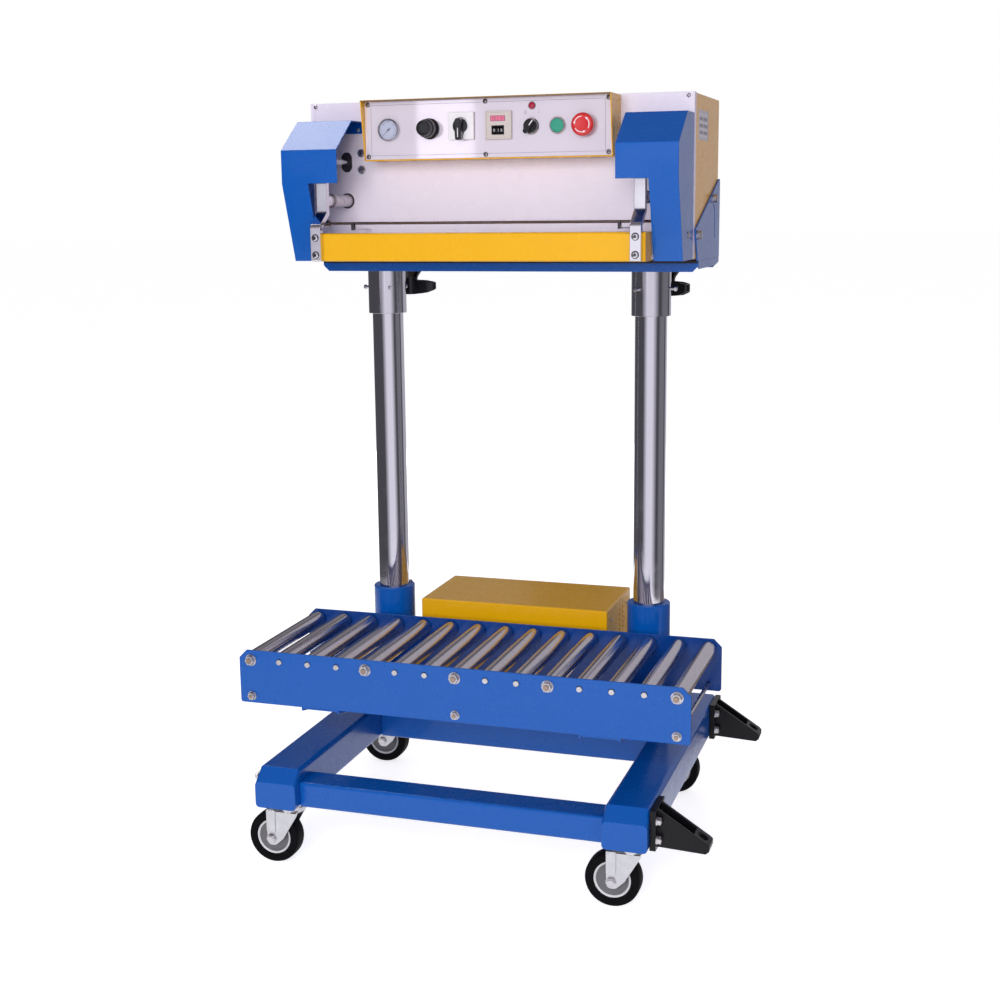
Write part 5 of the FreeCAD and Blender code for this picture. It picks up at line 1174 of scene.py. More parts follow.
@dataclass
class Head:
    """The sealing head without its controls: tray, gussets, sleeves, plate, cover and shrouds."""

    trees: Trees
    sleeve_seat: float = 36.5

    def sleeves(self) -> None:
        """Turns the two sleeves with small chamfers at both ends."""
        shape = Shape()
        for side in Side:
            shape.lathe([(30.1, 1000.0), (36.6, 1000.0), (37.0, 1000.4), (37.0, 1100.2), (36.2, 1101.0),
                         (30.1, 1101.0)], (side.value * COLUMN_X, COLUMN_Y, 0.0), Axis.Z, 128)
        settle(shape.made("sleeve_tubes", SLEEVE_STEEL), "head", SLEEVE_STEEL, "column_sleeves")

    def screws(self) -> None:
        """Grows every screw and bolt of the head."""
        parts = []
        front = TO_THE_FRONT
        corners = [at(side.value * 354.0, PLATE_FACE, 1390.0) for side in Side]
        tabs = [at(side.value * 268.5, 266.0, 1346.3) for side in Side]
        panel = [at(x, 212.0, z) for x in (-225.2, 0.0, 225.2) for z in (1387.2, 1295.2)]
        parts.append(grown("plate_screws", self.trees.heads, corners + tabs, front, ZINC,
                           {"Radius": 3.8, "Height": 2.4}))
        parts.append(grown("panel_screws", self.trees.heads, panel, front, ZINC,
                           {"Radius": 3.0, "Height": 2.0}))
        parts.append(grown("panel_washers", self.trees.discs, panel, front, DARK_STEEL_AND_SOCKET_SHADE,
                           {"Radius": 4.3, "Height": 0.7}))
        # Painted shade: a thin dark disc on each panel screw head stands for its shadowed socket.
        sockets = [spot + Vector((0.0, -2.0 * MM, 0.0)) for spot in panel]
        parts.append(grown("panel_socket_shade", self.trees.discs, sockets, front, DARK_STEEL_AND_SOCKET_SHADE,
                           {"Radius": 1.3, "Height": 0.12}))
        hexes = [at(side.value * 263.6, PLATE_FACE, z) for side in Side for z in (1304.0, 1274.0)]
        parts.append(grown("plate_bolts", self.trees.hexes, hexes, front, ZINC,
                           hex_sizes((7.6, 1.0), (6.9, 4.2), (3.4, 0.1))))
        for side in Side:
            way = (float(side.value), 0.0, 0.0)
            seats = [at(side.value * 367.8, y, z) for y, z in ((448.0, 1214.0), (292.0, 1150.0))]
            parts.append(grown("gusset_bolts_%s" % side.name.lower(), self.trees.hexes, seats, way, ZINC,
                               hex_sizes((8.4, 2.0), (7.4, 6.2), (3.8, 0.2))))
            parts.append(grown("shroud_screws_%s" % side.name.lower(), self.trees.heads,
                               [at(side.value * 364.6, 222.0, 1152.0)], way, ZINC,
                               {"Radius": 5.6, "Height": 2.4}))
            for angle in (0.0, 120.0, 240.0) if side is Side.RIGHT else (180.0, 60.0, 300.0):
                turn = math.radians(angle)
                way = (math.cos(turn), math.sin(turn), 0.0)
                seat = at(side.value * COLUMN_X + self.sleeve_seat * way[0],
                          COLUMN_Y + self.sleeve_seat * way[1], 1050.0)
                parts.append(grown("sleeve_screw_%s_%d" % (side.name.lower(), angle), self.trees.hexes,
                                   [seat],
                                   way, ZINC, hex_sizes((3.0, 7.5), (4.4, 4.8), (2.0, 0.1))))
        studs = Shape()
        for x in LEVER_STUDS:
            studs.rod((x, LEVER_Y, 0.0), Axis.Z, 4.94, 1040.0, 1083.0, 0.5, 32)
            studs.rod((x, LEVER_Y, 0.0), Axis.Z, 9.0, 1082.5, 1101.0, 0.5, 32)
        parts.append(studs.made("lever_studs", ZINC))
        settle(joined("head_fasteners", parts), "head", ZINC, "head_screws")

    def label(self) -> None:
        """Lays a thin border and a few blank fields on the plate of the cover's right side."""
        face = 365.0
        lines = Shape().border(Axis.X, (308.0, 1319.0), (397.0, 1365.0), 0.7, face, face + 0.2)
        for row in range(3):
            z = 1326.0 + row * 12.0
            lines.block((face, 314.0, z), (face + 0.18, 346.0, z + 6.0))
            lines.block((face, 352.0, z), (face + 0.18, 391.0, z + 6.0))
        settle(lines.made("label_fields", LABEL_FIELD), "head", LABEL_FIELD)

    def build(self) -> None:
        """Dresses the folded sheets and builds the rest."""
        dressed("head_tray", "head", BLUE, 0.9, 3)
        # Painted shade: a thin black strip along the tray's front top edge stands for the shadowed gap under
        # the jaw cover.
        shade_strip = Shape().block((-366.5, 309.7, 1099.4), (366.5, 311.2, 1104.2))
        settle(shade_strip.made("tray_edge_shade_strip", TRAY_EDGE_SHADE, 0.3), "head", TRAY_EDGE_SHADE)
        dressed("side_gussets", "head", BLUE, 0.7)
        dressed("front_plate", "head", WHITE, 0.8)
        cover = dressed("head_cover", "head", YELLOW, 0.6)
        repaint(cover, LABEL, lambda spot: spot.x > 364.75)
        self.label()
        # Painted shade: thin dark rings round each pivot bar stand for shadowed gaps along it, one of them at
        # the plate.
        rings = Shape()
        for side in Side:
            centre = (side.value * PIVOT_X, 0.0, PIVOT_Z)
            for inner, outer, start, end in ((11.6, 14.2, 267.3, 268.2), (11.6, 12.3, 182.0, 183.2),
                                             (11.6, 12.3, 187.6, 188.8)):
                rings.lathe([(inner, start), (outer, start), (outer, end), (inner, end)], centre, Axis.Y, 48)
        settle(rings.made("pivot_gap_shade_rings", PAINTED_GAP_SHADE), "head", PAINTED_GAP_SHADE)
        dressed("arm_shrouds", "head", BLUE, 0.8, 3)
        cylinders = dressed("air_cylinders", "head", ALUMINIUM, 0.6)
        # Painted shade: the cylinders' front faces, seen through the plate's holes, are painted near black.
        repaint(cylinders, PAINTED_GAP_SHADE, lambda spot: spot.y < 273.0)
        pivots = dressed("pivot_blocks", "head", PIVOT, 0.5)
        # Painted shade: a dark ring on the pivot block faces round each bar stands for the gap at the plate's
        # hole.
        repaint(pivots, PAINTED_GAP_SHADE, lambda spot: 269.8 < spot.y < 274.0 and math.hypot(
            abs(spot.x) - PIVOT_X, spot.z - PIVOT_Z) > 11.3)
        self.sleeves()
        self.screws()


@dataclass
class Jaws:
    """The swinging jaw with its arms, the rods that drive it and the fixed jaw."""

    trees: Trees
    half: float = 303.0
    rod_y: float = 189.0
    rod_z: float = 1176.0

    def arms(self) -> None:
        """Bends the two cranked bars and adds their lugs, pins and socket bolts."""
        shape = Shape()
        bar = [(150.0, 1294.5), (150.0, 1199.0), (149.2, 1196.4), (121.4, 1176.2), (117.9, 1171.5),
               (117.5, 1168.5),
               (117.5, 1113.0), (118.4, 1110.8), (120.5, 1110.0), (126.5, 1110.0), (128.6, 1110.8),
               (129.5, 1113.0), (129.5, 1167.0), (131.0, 1170.0), (160.0, 1190.6), (162.0, 1194.0),
               (162.0, 1294.5), (161.0, 1297.0), (158.5, 1298.0), (153.5, 1298.0), (151.0, 1297.0)]
        lugs = Shape()
        for side in Side:
            x = side.value * PIVOT_X
            shape.prism(bar, Axis.X, x - 10.0, x + 10.0)
            for z in (PIVOT_Z, ROD_Z):
                lug = [(161.0, z - 8.0), (169.0, z - 8.0)]
                lug += [(169.0 + 8.0 * math.cos(math.radians(a)), z + 8.0 * math.sin(math.radians(a)))
                        for a in range(-75, 90, 15)]
                lug += [(169.0, z + 8.0), (161.0, z + 8.0)]
                for near, far in ((x - 10.0, x - 4.4), (x + 4.4, x + 10.0)):
                    lugs.prism(lug, Axis.X, near, far)
                lugs.rod((0.0, 169.0, z), Axis.X, 4.6, x - 10.4, x + 10.4, 0.5, 32)
        settle(shape.made("arm_bars", ARM_STEEL, 0.9, 3), "swing_jaw", ARM_STEEL, "swing_arms")
        settle(lugs.made("arm_lugs", ARM_STEEL, 0.3), "swing_jaw", ARM_STEEL)
        seats = [at(side.value * PIVOT_X, 117.5, z) for side in Side for z in (1151.5, 1121.0)]
        front = TO_THE_FRONT
        # Painted shade: a thin dark disc on each arm bolt head stands for its shadowed socket.
        tops = [spot + Vector((0.0, -3.3 * MM, 0.0)) for spot in seats]
        parts = [grown("arm_bolt_heads", self.trees.heads, seats, front, ARM_STEEL,
                       {"Radius": 5.7, "Height": 3.3}),
                 grown("arm_bolt_rims", self.trees.discs, seats, front, DARK_STEEL_AND_SOCKET_SHADE,
                       {"Radius": 6.8, "Height": 0.5}),
                 grown("arm_bolt_socket_shade", self.trees.discs, tops, front, DARK_STEEL_AND_SOCKET_SHADE,
                       {"Radius": 2.5, "Height": 0.15})]
        settle(joined("arm_bolts", parts), "swing_jaw", ARM_STEEL)

    def swinging(self) -> None:
        """Builds arms, cover, bar and pad."""
        self.arms()
        dressed("jaw_cover", "swing_jaw", YELLOW, 0.7, 3)
        bar = dressed("jaw_bar", "swing_jaw", ALUMINIUM, 0.4)
        repaint(bar, SILICONE, lambda spot: spot.y - (spot.z - 1134.5) * 0.1405 > 176.0)
        dressed("piston_rods", "rods", ARM_STEEL, 0.4)

    def fixed(self) -> None:
        """Builds the fixed bar, band, tape rod, collar and hooks."""
        parts = []
        bar = Shape()
        bar.prism([(193.5, 1118.0), (193.5, 1150.0), (230.0, 1150.0), (230.0, 1118.0)], Axis.X, -self.half,
                  self.half)
        parts.append(bar.made("fixed_jaw_bar", PALE_BAR, 0.6))
        posts = Shape()
        for x in (-260.0, 0.0, 260.0):
            posts.rod((x, 0.0, 1134.0), Axis.Y, 10.0, 230.0, PLATE_FACE, 0.5, 32)
        parts.append(posts.made("fixed_jaw_posts", ZINC))
        band = Shape().block((-299.0, 192.9, 1130.0), (299.0, 193.5, 1138.0))
        parts.append(band.made("heating_strip", BAND, 0.1, 1))
        centre = (0.0, self.rod_y, self.rod_z)
        rod = Shape().rod(centre, Axis.X, 2.5, -310.0, 310.0, 0.4, 24).rod(centre, Axis.X, 6.0, -308.0,
                                                                           -296.0, 0.8, 32)
        parts.append(rod.made("tape_bar", TAPE_STEEL))
        hooks = Shape()
        hook = [(194.0, 1163.5), (194.0, 1177.5), (191.8, 1177.5), (191.8, 1168.5), (186.2, 1168.5),
                (186.2, 1177.5), (184.0, 1177.5), (184.0, 1165.5), (186.0, 1163.5)]
        brackets = Shape()
        for x in (-250.5, 250.5):
            hooks.prism(hook, Axis.X, x - 2.5, x + 2.5)
            brackets.block((x - 2.5, 193.8, 1163.5), (x + 2.5, 268.0, 1166.0))
        parts.append(hooks.made("tape_bar_hooks", DARK_STEEL_AND_SOCKET_SHADE, 0.4))
        parts.append(brackets.made("tape_bar_brackets", WHITE, 0.3))
        first, rest = parts[0], parts[1:]
        settle(first, "head", PALE_BAR, "fixed_jaw")
        for part, finish in zip(rest, (ZINC, BAND, TAPE_STEEL, DARK_STEEL_AND_SOCKET_SHADE, WHITE)):
            settle(part, "head", finish)

    def build(self) -> None:
        """Builds both jaws."""
        self.swinging()
        self.fixed()


@dataclass
class Controls:
    """The control box, its panel and the instruments."""

    trees: Trees
    face: float = 212.0
    z: float = 1342.0

    def panel(self) -> None:
        """Dresses the box and the panel and inlays the border line."""
        box = dressed("control_box", "head", YELLOW, 0.7)
        repaint(box, SHADED_EDGE, lambda spot: spot.y < self.face and spot.z > 1391.0)
        dressed("control_panel", "head", PANEL, 0.0)
        line = Shape().border(Axis.Y, (-219.5, 1296.5), (219.5, 1386.0), 0.55, self.face - 0.12,
                              self.face + 0.1)
        settle(line.made("panel_border", PANEL_LINE), "head", PANEL_LINE)

    def gauge(self) -> None:
        """Builds the pressure gauge: case, bezel, dial with marks, needle and glass."""
        x, y = -183.8, self.face
        centre = (x, 0.0, self.z)
        case = Shape().lathe([
            (0.0, y + 24.0), (0.0, y - 3.6), (17.4, y - 3.6), (17.4, y - 8.2), (17.9, y - 9.0),
            (18.8, y - 9.2),
            (19.6, y - 8.6), (20.0, y - 7.2), (20.0, y - 1.2), (19.4, y), (17.6, y), (17.6, y + 24.0)],
            centre, Axis.Y, 96)
        settle(case.made("gauge_bezel", GREY_BEZEL), "head", GREY_BEZEL, "panel_instruments")
        dial = Shape().lathe([(0.0, y - 3.7), (0.0, y - 4.3), (17.2, y - 4.3), (17.2, y - 3.7)], centre,
                             Axis.Y, 72)
        settle(dial.made("gauge_dial", DIAL), "head", DIAL)
        parts = []
        middle = at(x, y - 4.3, self.z)
        for tag, count, length, wide in (("long", 7, 3.0, 0.7), ("short", 31, 1.4, 0.36)):
            places = [around(x, self.z, 15.2 - length / 2, 225.0 - 270.0 * index / (count - 1))
                      for index in range(count)]
            spots = [at(a, y - 4.3, b) for a, b in places]
            parts.append(grown("gauge_marks_" + tag, self.trees.marks, spots, tuple(middle), INK,
                               {"Length": length, "Width": wide}))
        marks = Shape()
        marks.rod((x, 0.0, self.z), Axis.Y, 1.8, y - 6.0, y - 4.3, 0.3, 24)
        needle = math.radians(222.0)
        tip = (x + math.cos(needle) * 12.5, self.z + math.sin(needle) * 12.5)
        tail = (-math.cos(needle) * 5.0, -math.sin(needle) * 5.0)
        side = (-math.sin(needle) * 0.75, math.cos(needle) * 0.75)
        marks.prism([tip, (x + side[0], self.z + side[1]),
                     (x + tail[0] + side[0], self.z + tail[1] + side[1]),
                     (x + tail[0] - side[0], self.z + tail[1] - side[1]), (x - side[0], self.z - side[1])],
                    Axis.Y, y - 5.4, y - 4.9)
        parts.append(marks.made("gauge_needle", INK))
        settle(joined("gauge_marks", parts), "head", INK)
        glass = Shape().lathe([(0.0, y - 6.6), (0.0, y - 8.0), (12.0, y - 7.7), (17.3, y - 7.0),
                               (17.3, y - 6.6)],
                              centre, Axis.Y, 72)
        settle(glass.made("gauge_cover_glass", GLASS), "head", GLASS)

    def regulator(self) -> None:
        """Builds the stepped regulator knob with its ribs and its collar."""
        x, y = -105.3, self.face
        centre = (x, 0.0, self.z)
        collar = Shape().lathe([(3.1, y - 5.8), (17.2, y - 5.8), (18.5, y - 4.6), (18.5, y), (3.1, y)],
                               centre,
                               Axis.Y, 72)
        settle(collar.made("regulator_ring", BLACK), "head", BLACK)
        knob = Shape().lathe([
            (0.0, y + 24.0), (0.0, 177.6), (8.5, 177.6), (9.0, 177.0), (12.4, 177.0), (13.6, 177.6),
            (14.0, 178.8),
            (14.0, 183.4), (12.4, 184.6), (12.4, 186.0), (14.8, 187.0), (15.6, 187.8), (15.8, 188.8),
            (15.8, 204.6), (15.2, 205.5), (3.0, 205.5), (3.0, y + 24.0)], centre, Axis.Y, 72).made(
                "regulator_grip", BLACK)
        places = [around(x, self.z, 15.5, angle) for angle in range(0, 360, 12)]
        spots = [at(a, 204.5, b) for a, b in places]
        ribs = grown("regulator_ribs", self.trees.discs, spots, TO_THE_FRONT, BLACK,
                     {"Radius": 0.95, "Height": 15.6})
        knob = joined("regulator_grip", [knob, ribs])
        settle(knob, "regulator_knob", BLACK, "regulator_knob")

    def cam_switch(self) -> None:
        """Builds the square plate of the cam switch and its lever knob."""
        x, z, y = -44.2, 1345.4, self.face
        plate = Shape()
        plate.block((x - 24.0, y - 7.0, z - 24.0), (x + 24.0, y - 1.6, z + 24.0))
        settle(plate.made("cam_switch_plate", WHITE_PLASTIC, 1.0, 3), "head", WHITE_PLASTIC)
        back = Shape()
        back.block((x - 23.6, y - 1.6, z - 23.6), (x + 23.6, y, z + 23.6))
        settle(back.made("cam_switch_base", DARK_CASE, 0.4), "head", DARK_CASE)
        ring = Shape().lathe([(3.1, y - 7.4), (14.6, y - 7.4), (15.2, y - 7.0), (3.1, y - 7.0)], (x, 0.0, z),
                             Axis.Y,
                             64)
        settle(ring.made("cam_switch_ring", CHROME), "head", CHROME)
        disc = Shape().lathe([(0.0, 204.5), (0.0, 199.4), (11.0, 199.6), (12.6, 200.6), (13.0, 202.0),
                              (13.0, 204.0), (12.6, 204.5)], (x, 0.0, z), Axis.Y, 64).made("cam_disc", BLACK)
        handle = Shape().prism([
            (x - 6.4, z + 8.0), (x - 4.6, z + 12.0), (x, z + 13.2), (x + 4.6, z + 12.0), (x + 6.4, z + 8.0),
            (x + 6.0, z - 8.0), (x + 5.6, z - 23.0), (x + 3.4, z - 25.0), (x - 3.4, z - 25.0),
            (x - 5.6, z - 23.0), (x - 6.0, z - 8.0)], Axis.Y, 187.2, 200.6)
        handle = handle.made("cam_handle", BLACK, 1.4, 3)
        settle(handle, "cam_knob", BLACK)
        settle(disc, "cam_knob", BLACK, "cam_knob")
        mark = Shape().block((x - 0.7, 187.0, z - 20.0), (x + 0.7, 187.4, z - 4.0))
        settle(mark.made("cam_mark", WHITE_PLASTIC), "cam_knob", WHITE_PLASTIC)

    def timer(self) -> None:
        """Builds the timer: case with its recess, lit window with digits, and the thumbwheel."""
        x, z, y = 25.5, 1345.0, self.face
        half, front = 24.5, self.face - 6.0
        case = Shape()
        rim = 2.6
        case.block((x - half, front, z - half), (x - half + rim, y, z + half))
        case.block((x + half - rim, front, z - half), (x + half, y, z + half))
        case.block((x - half + rim, front, z + half - rim), (x + half - rim, y, z + half))
        case.block((x - half + rim, front, z - half), (x + half - rim, y, z - half + rim))
        settle(case.made("timer_rim", BEIGE, 0.6), "head", BEIGE)
        face = Shape()
        low, high = z - half + rim, z + half - rim
        left, right = x - half + rim, x + half - rim
        wx0, wx1, wz0, wz1 = x - 12.6, x + 10.6, 1328.6, 1344.6
        face.block((left, front + 1.0, wz1), (right, front + 5.0, high))
        face.block((left, front + 1.0, low), (right, front + 5.0, wz0))
        face.block((left, front + 1.0, wz0), (wx0, front + 5.0, wz1))
        face.block((wx1, front + 1.0, wz0), (right, front + 5.0, wz1))
        settle(face.made("timer_face", BEIGE, 0.15, 1), "head", BEIGE)
        frame = Shape().border(Axis.Y, (wx0, wz0), (wx1, wz1), 1.6, front + 0.4, front + 5.0)
        frame.block((left, front + 5.0, low), (right, y, wz0))
        settle(frame.made("timer_window_frame", BLACK, 0.2, 1), "head", BLACK)
        window = Shape().block((x - 15.0, front + 0.5, 1351.8), (x + 13.0, front + 1.2, 1361.8))
        settle(window.made("timer_display", WINDOW, 0.3), "head", WINDOW)
        digits = Shape()
        for index, value in enumerate((0, 3, 8, 5)):
            self.digit(digits, x - 10.6 + index * 6.4, 1356.8, front + 0.42, value)
        settle(digits.made("timer_digits", DIGITS), "head", DIGITS)
        wheels = []
        marks = Shape()
        hub = (0.0, 213.2, 1336.6)
        for index, value in enumerate((0, 1, 5)):
            middle = x - 7.8 + index * 6.8
            drum = Shape().rod(hub, Axis.X, 6.5, middle - 3.0, middle + 3.0, 0.4, 30)
            wheels.append(drum.made("thumb_drum_%d" % index, BLACK))
            self.digit(marks, middle, hub[2], 206.62, value, 1.1)
        wheels.append(marks.made("thumb_digits", WHITE_PLASTIC))
        axle = Shape().rod(hub, Axis.X, 1.0, 10.0, 39.0, 0.2, 16)
        wheels.append(axle.made("thumb_axle", ZINC))
        settle(joined("timer_thumbwheel", wheels), "timer_wheel", BLACK, "timer_wheel")

    @staticmethod
    def digit(shape: Shape, x: float, z: float, y: float, value: int, half: float = 1.6) -> None:
        """Adds a seven-segment numeral.

        Args:
            shape: the shape that takes the bars.
            x: its middle.
            z: its middle height.
            y: its face.
            value: the numeral.
            half: half its width.
        """
        wide, tall = 0.28, half * 1.7
        lit = ("abcdef", "bc", "abged", "abgcd", "fgbc", "afgcd", "afgedc", "abc", "abcdefg", "abcdfg")[value]
        bars = {"a": (-half, half, tall, tall), "g": (-half, half, 0.0, 0.0),
                "d": (-half, half, -tall, -tall),
                "f": (-half, -half, 0.0, tall), "b": (half, half, 0.0, tall), "e": (-half, -half, -tall, 0.0),
                "c": (half, half, -tall, 0.0)}
        for letter in lit:
            x0, x1, z0, z1 = bars[letter]
            shape.block((x + x0 - wide, y, z + z0 - wide), (x + x1 + wide, y + 0.12, z + z1 + wide))

    def lamp(self) -> None:
        """Builds the pilot lamp: bright ring and domed lens."""
        x, z, y = 86.5, 1377.3, self.face
        ring = Shape().lathe([(4.8, y - 1.4), (6.5, y - 1.4), (7.0, y - 0.8), (7.0, y), (4.8, y)],
                             (x, 0.0, z),
                             Axis.Y, 48)
        settle(ring.made("lamp_ring", GREY_BEZEL), "head", GREY_BEZEL)
        profile = [(0.0, y + 18.0), (0.0, y - 5.0)]
        profile += [(5.8 * math.sin(math.radians(a)), y - 1.2 - 3.8 * math.cos(math.radians(a)))
                    for a in (15, 30, 45, 60, 75, 90)]
        profile += [(4.7, y - 1.0), (4.7, y + 18.0)]
        lens = Shape().lathe(profile, (x, 0.0, z), Axis.Y, 48)
        settle(lens.made("lamp_lens", LAMP), "head", LAMP)

    def bezel(self, name: str, x: float, out: float, inner: float) -> None:
        """Turns a bright ring for a 22 mm switch, with its body behind the panel."""
        y = self.face
        ring = Shape().lathe([(inner, y - out), (13.6, y - out), (14.5, y - out + 0.9), (14.5, y - 0.6),
                              (14.1, y),
                              (inner, y)], (x, 0.0, self.z), Axis.Y, 72)
        settle(ring.made(name + "_ring", CHROME), "head", CHROME)
        body = Shape().lathe([(3.2, y - 2.9), (inner + 0.2, y - 2.9), (inner + 0.2, y - 0.4), (11.0, y - 0.4),
                              (11.0, y + 34.0), (3.2, y + 34.0)], (x, 0.0, self.z), Axis.Y, 48)
        settle(body.made(name + "_body", DARK_CASE), "head", DARK_CASE)

    def selector(self) -> None:
        """Builds the selector: ring, knob with its wing and white pointer, and the two numerals."""
        x, z = 85.4, self.z
        self.bezel("selector", x, 3.0, 11.8)
        knob = Shape().lathe([(0.0, 208.5), (0.0, 200.6), (10.8, 200.8), (12.2, 201.8), (12.5, 203.0),
                              (12.5, 208.0), (12.1, 208.5)], (x, 0.0, z), Axis.Y,
                              64).made("selector_disc", BLACK)

        def turned(points: Sequence[Flat]) -> list[Flat]:
            """Turns points drawn along the pointer into the panel's plane."""
            return [(x + a * 0.60 + b * 0.80, z + a * 0.80 - b * 0.60) for a, b in points]

        wing = Shape().prism(turned([(12.5, 3.4), (12.9, 0.0), (12.5, -3.4), (-12.0, -4.8), (-15.0, -2.4),
                                     (-15.0, 2.4), (-12.0, 4.8)]), Axis.Y, 193.2, 201.6)
        settle(wing.made("selector_wing", BLACK, 1.1, 3), "selector_knob", BLACK)
        settle(knob, "selector_knob", BLACK, "selector_knob")
        mark = Shape().prism(turned([(11.6, 0.8), (11.6, -0.8), (1.0, -0.8), (1.0, 0.8)]), Axis.Y, 193.0,
                             193.5)
        settle(mark.made("selector_mark", WHITE_PLASTIC), "selector_knob", WHITE_PLASTIC)
        marks = Shape()
        self.digit(marks, 74.5, 1366.0, self.face - 0.1, 0, 1.5)
        marks.block((99.0, self.face - 0.1, 1363.2), (99.6, self.face + 0.02, 1368.8))
        settle(marks.made("selector_numerals", PANEL_LINE), "head", PANEL_LINE)

    def buttons(self) -> None:
        """Builds the green start button and the red stop button."""
        y = self.face
        self.bezel("start", 134.2, 8.0, 12.4)
        cap = Shape().lathe([(0.0, y + 24.0), (0.0, 202.9), (9.0, 202.7), (11.0, 202.9), (11.8, 203.6),
                             (12.0, 204.6), (12.0, 205.8), (3.0, 205.8), (3.0, y + 24.0)],
                            (134.2, 0.0, self.z), Axis.Y, 72)
        settle(cap.made("start_cap", GREEN), "start_button", GREEN, "start_button")
        self.bezel("stop", 182.5, 3.0, 11.6)
        head = Shape().lathe([
            (0.0, y + 24.0), (0.0, 190.6), (5.0, 190.4), (9.0, 190.0), (10.5, 189.3), (13.5, 189.0),
            (16.2, 189.4),
            (18.4, 190.6), (19.7, 192.6), (20.0, 194.8), (20.0, 197.4), (19.4, 198.8), (10.0, 199.0),
            (10.0, 204.5), (3.0, 204.5), (3.0, y + 24.0)], (182.5, 0.0, self.z), Axis.Y, 96)
        settle(head.made("stop_cap", RED), "stop_button", RED, "stop_button")
        arrows = Shape()
        for turn in (90.0, 210.0, 330.0):
            self.arc_arrow(arrows, 182.5, self.z, 188.86, turn)
        settle(arrows.made("stop_arrows", WHITE_PLASTIC), "stop_button", WHITE_PLASTIC)

    @staticmethod
    def arc_arrow(shape: Shape, x: float, z: float, y: float, start: float) -> None:
        """Adds a curved bar that ends in an arrow point, as on any turn-to-release button.

        Args:
            shape: the shape that takes it.
            x: middle of the button.
            z: its height.
            y: the face of the bar.
            start: where the bar begins, in degrees.
        """
        inner, outer, barb, sweep, tip, steps = 12.6, 14.0, 1.4, 74.0, 92.0, 10
        angles = [start + sweep * k / steps for k in range(steps + 1)]
        ring = [around(x, z, outer, angle) for angle in angles]
        ring += [around(x, z, outer + barb, start + sweep), around(x, z, (inner + outer) / 2, start + tip),
                 around(x, z, inner - barb, start + sweep)]
        ring += [around(x, z, inner, angle) for angle in reversed(angles)]
        shape.prism(ring, Axis.Y, y, y + 0.35)

    def build(self) -> None:
        """Builds the whole panel."""
        self.panel()
        self.gauge()
        self.regulator()
        self.cam_switch()
        self.timer()
        self.lamp()
        self.selector()
        self.buttons()


# Camera, light and floor


@dataclass(frozen=True)
class PhotoCamera:
    """The camera that was solved from the photograph, in machine millimetres and degrees."""

    place: Point = (868.70, -2406.40, 1204.86)
    yaw: float = 17.97
    pitch: float = 11.04
    roll: float = -0.63
    focal_pixels: float = 1507.88
    frame_pixels: float = 1000.0

    def build(self) -> None:
        """Makes the camera and sets it as the scene's."""
        yaw, pitch, roll = (math.radians(v) for v in (self.yaw, self.pitch, self.roll))
        forward = Vector((-math.sin(yaw) * math.cos(pitch), math.cos(yaw) * math.cos(pitch),
                          -math.sin(pitch)))
        right = Vector((math.cos(yaw), math.sin(yaw), 0.0))
        up = right.cross(forward)
        right_turned = right * math.cos(roll) + up * math.sin(roll)
        up_turned = up * math.cos(roll) - right * math.sin(roll)
        data = bpy.data.cameras.new("photo_camera")
        data.sensor_width = 36.0
        data.lens = 36.0 * self.focal_pixels / self.frame_pixels
        data.clip_start, data.clip_end = 0.05, 60.0
        camera = bpy.data.objects.new("photo_camera", data)
        bpy.context.scene.collection.objects.link(camera)
        pose = Matrix((right_turned, up_turned, -forward)).transposed().to_4x4()
        pose.translation = at(*self.place)
        camera.matrix_world = pose
        bpy.context.scene.camera = camera


@dataclass(frozen=True)
class SoftBox:
    """A pale stretch of the studio's round wall, by compass angle in degrees, with soft edges."""

    middle: float
    half: float
    edge: float
    level: float


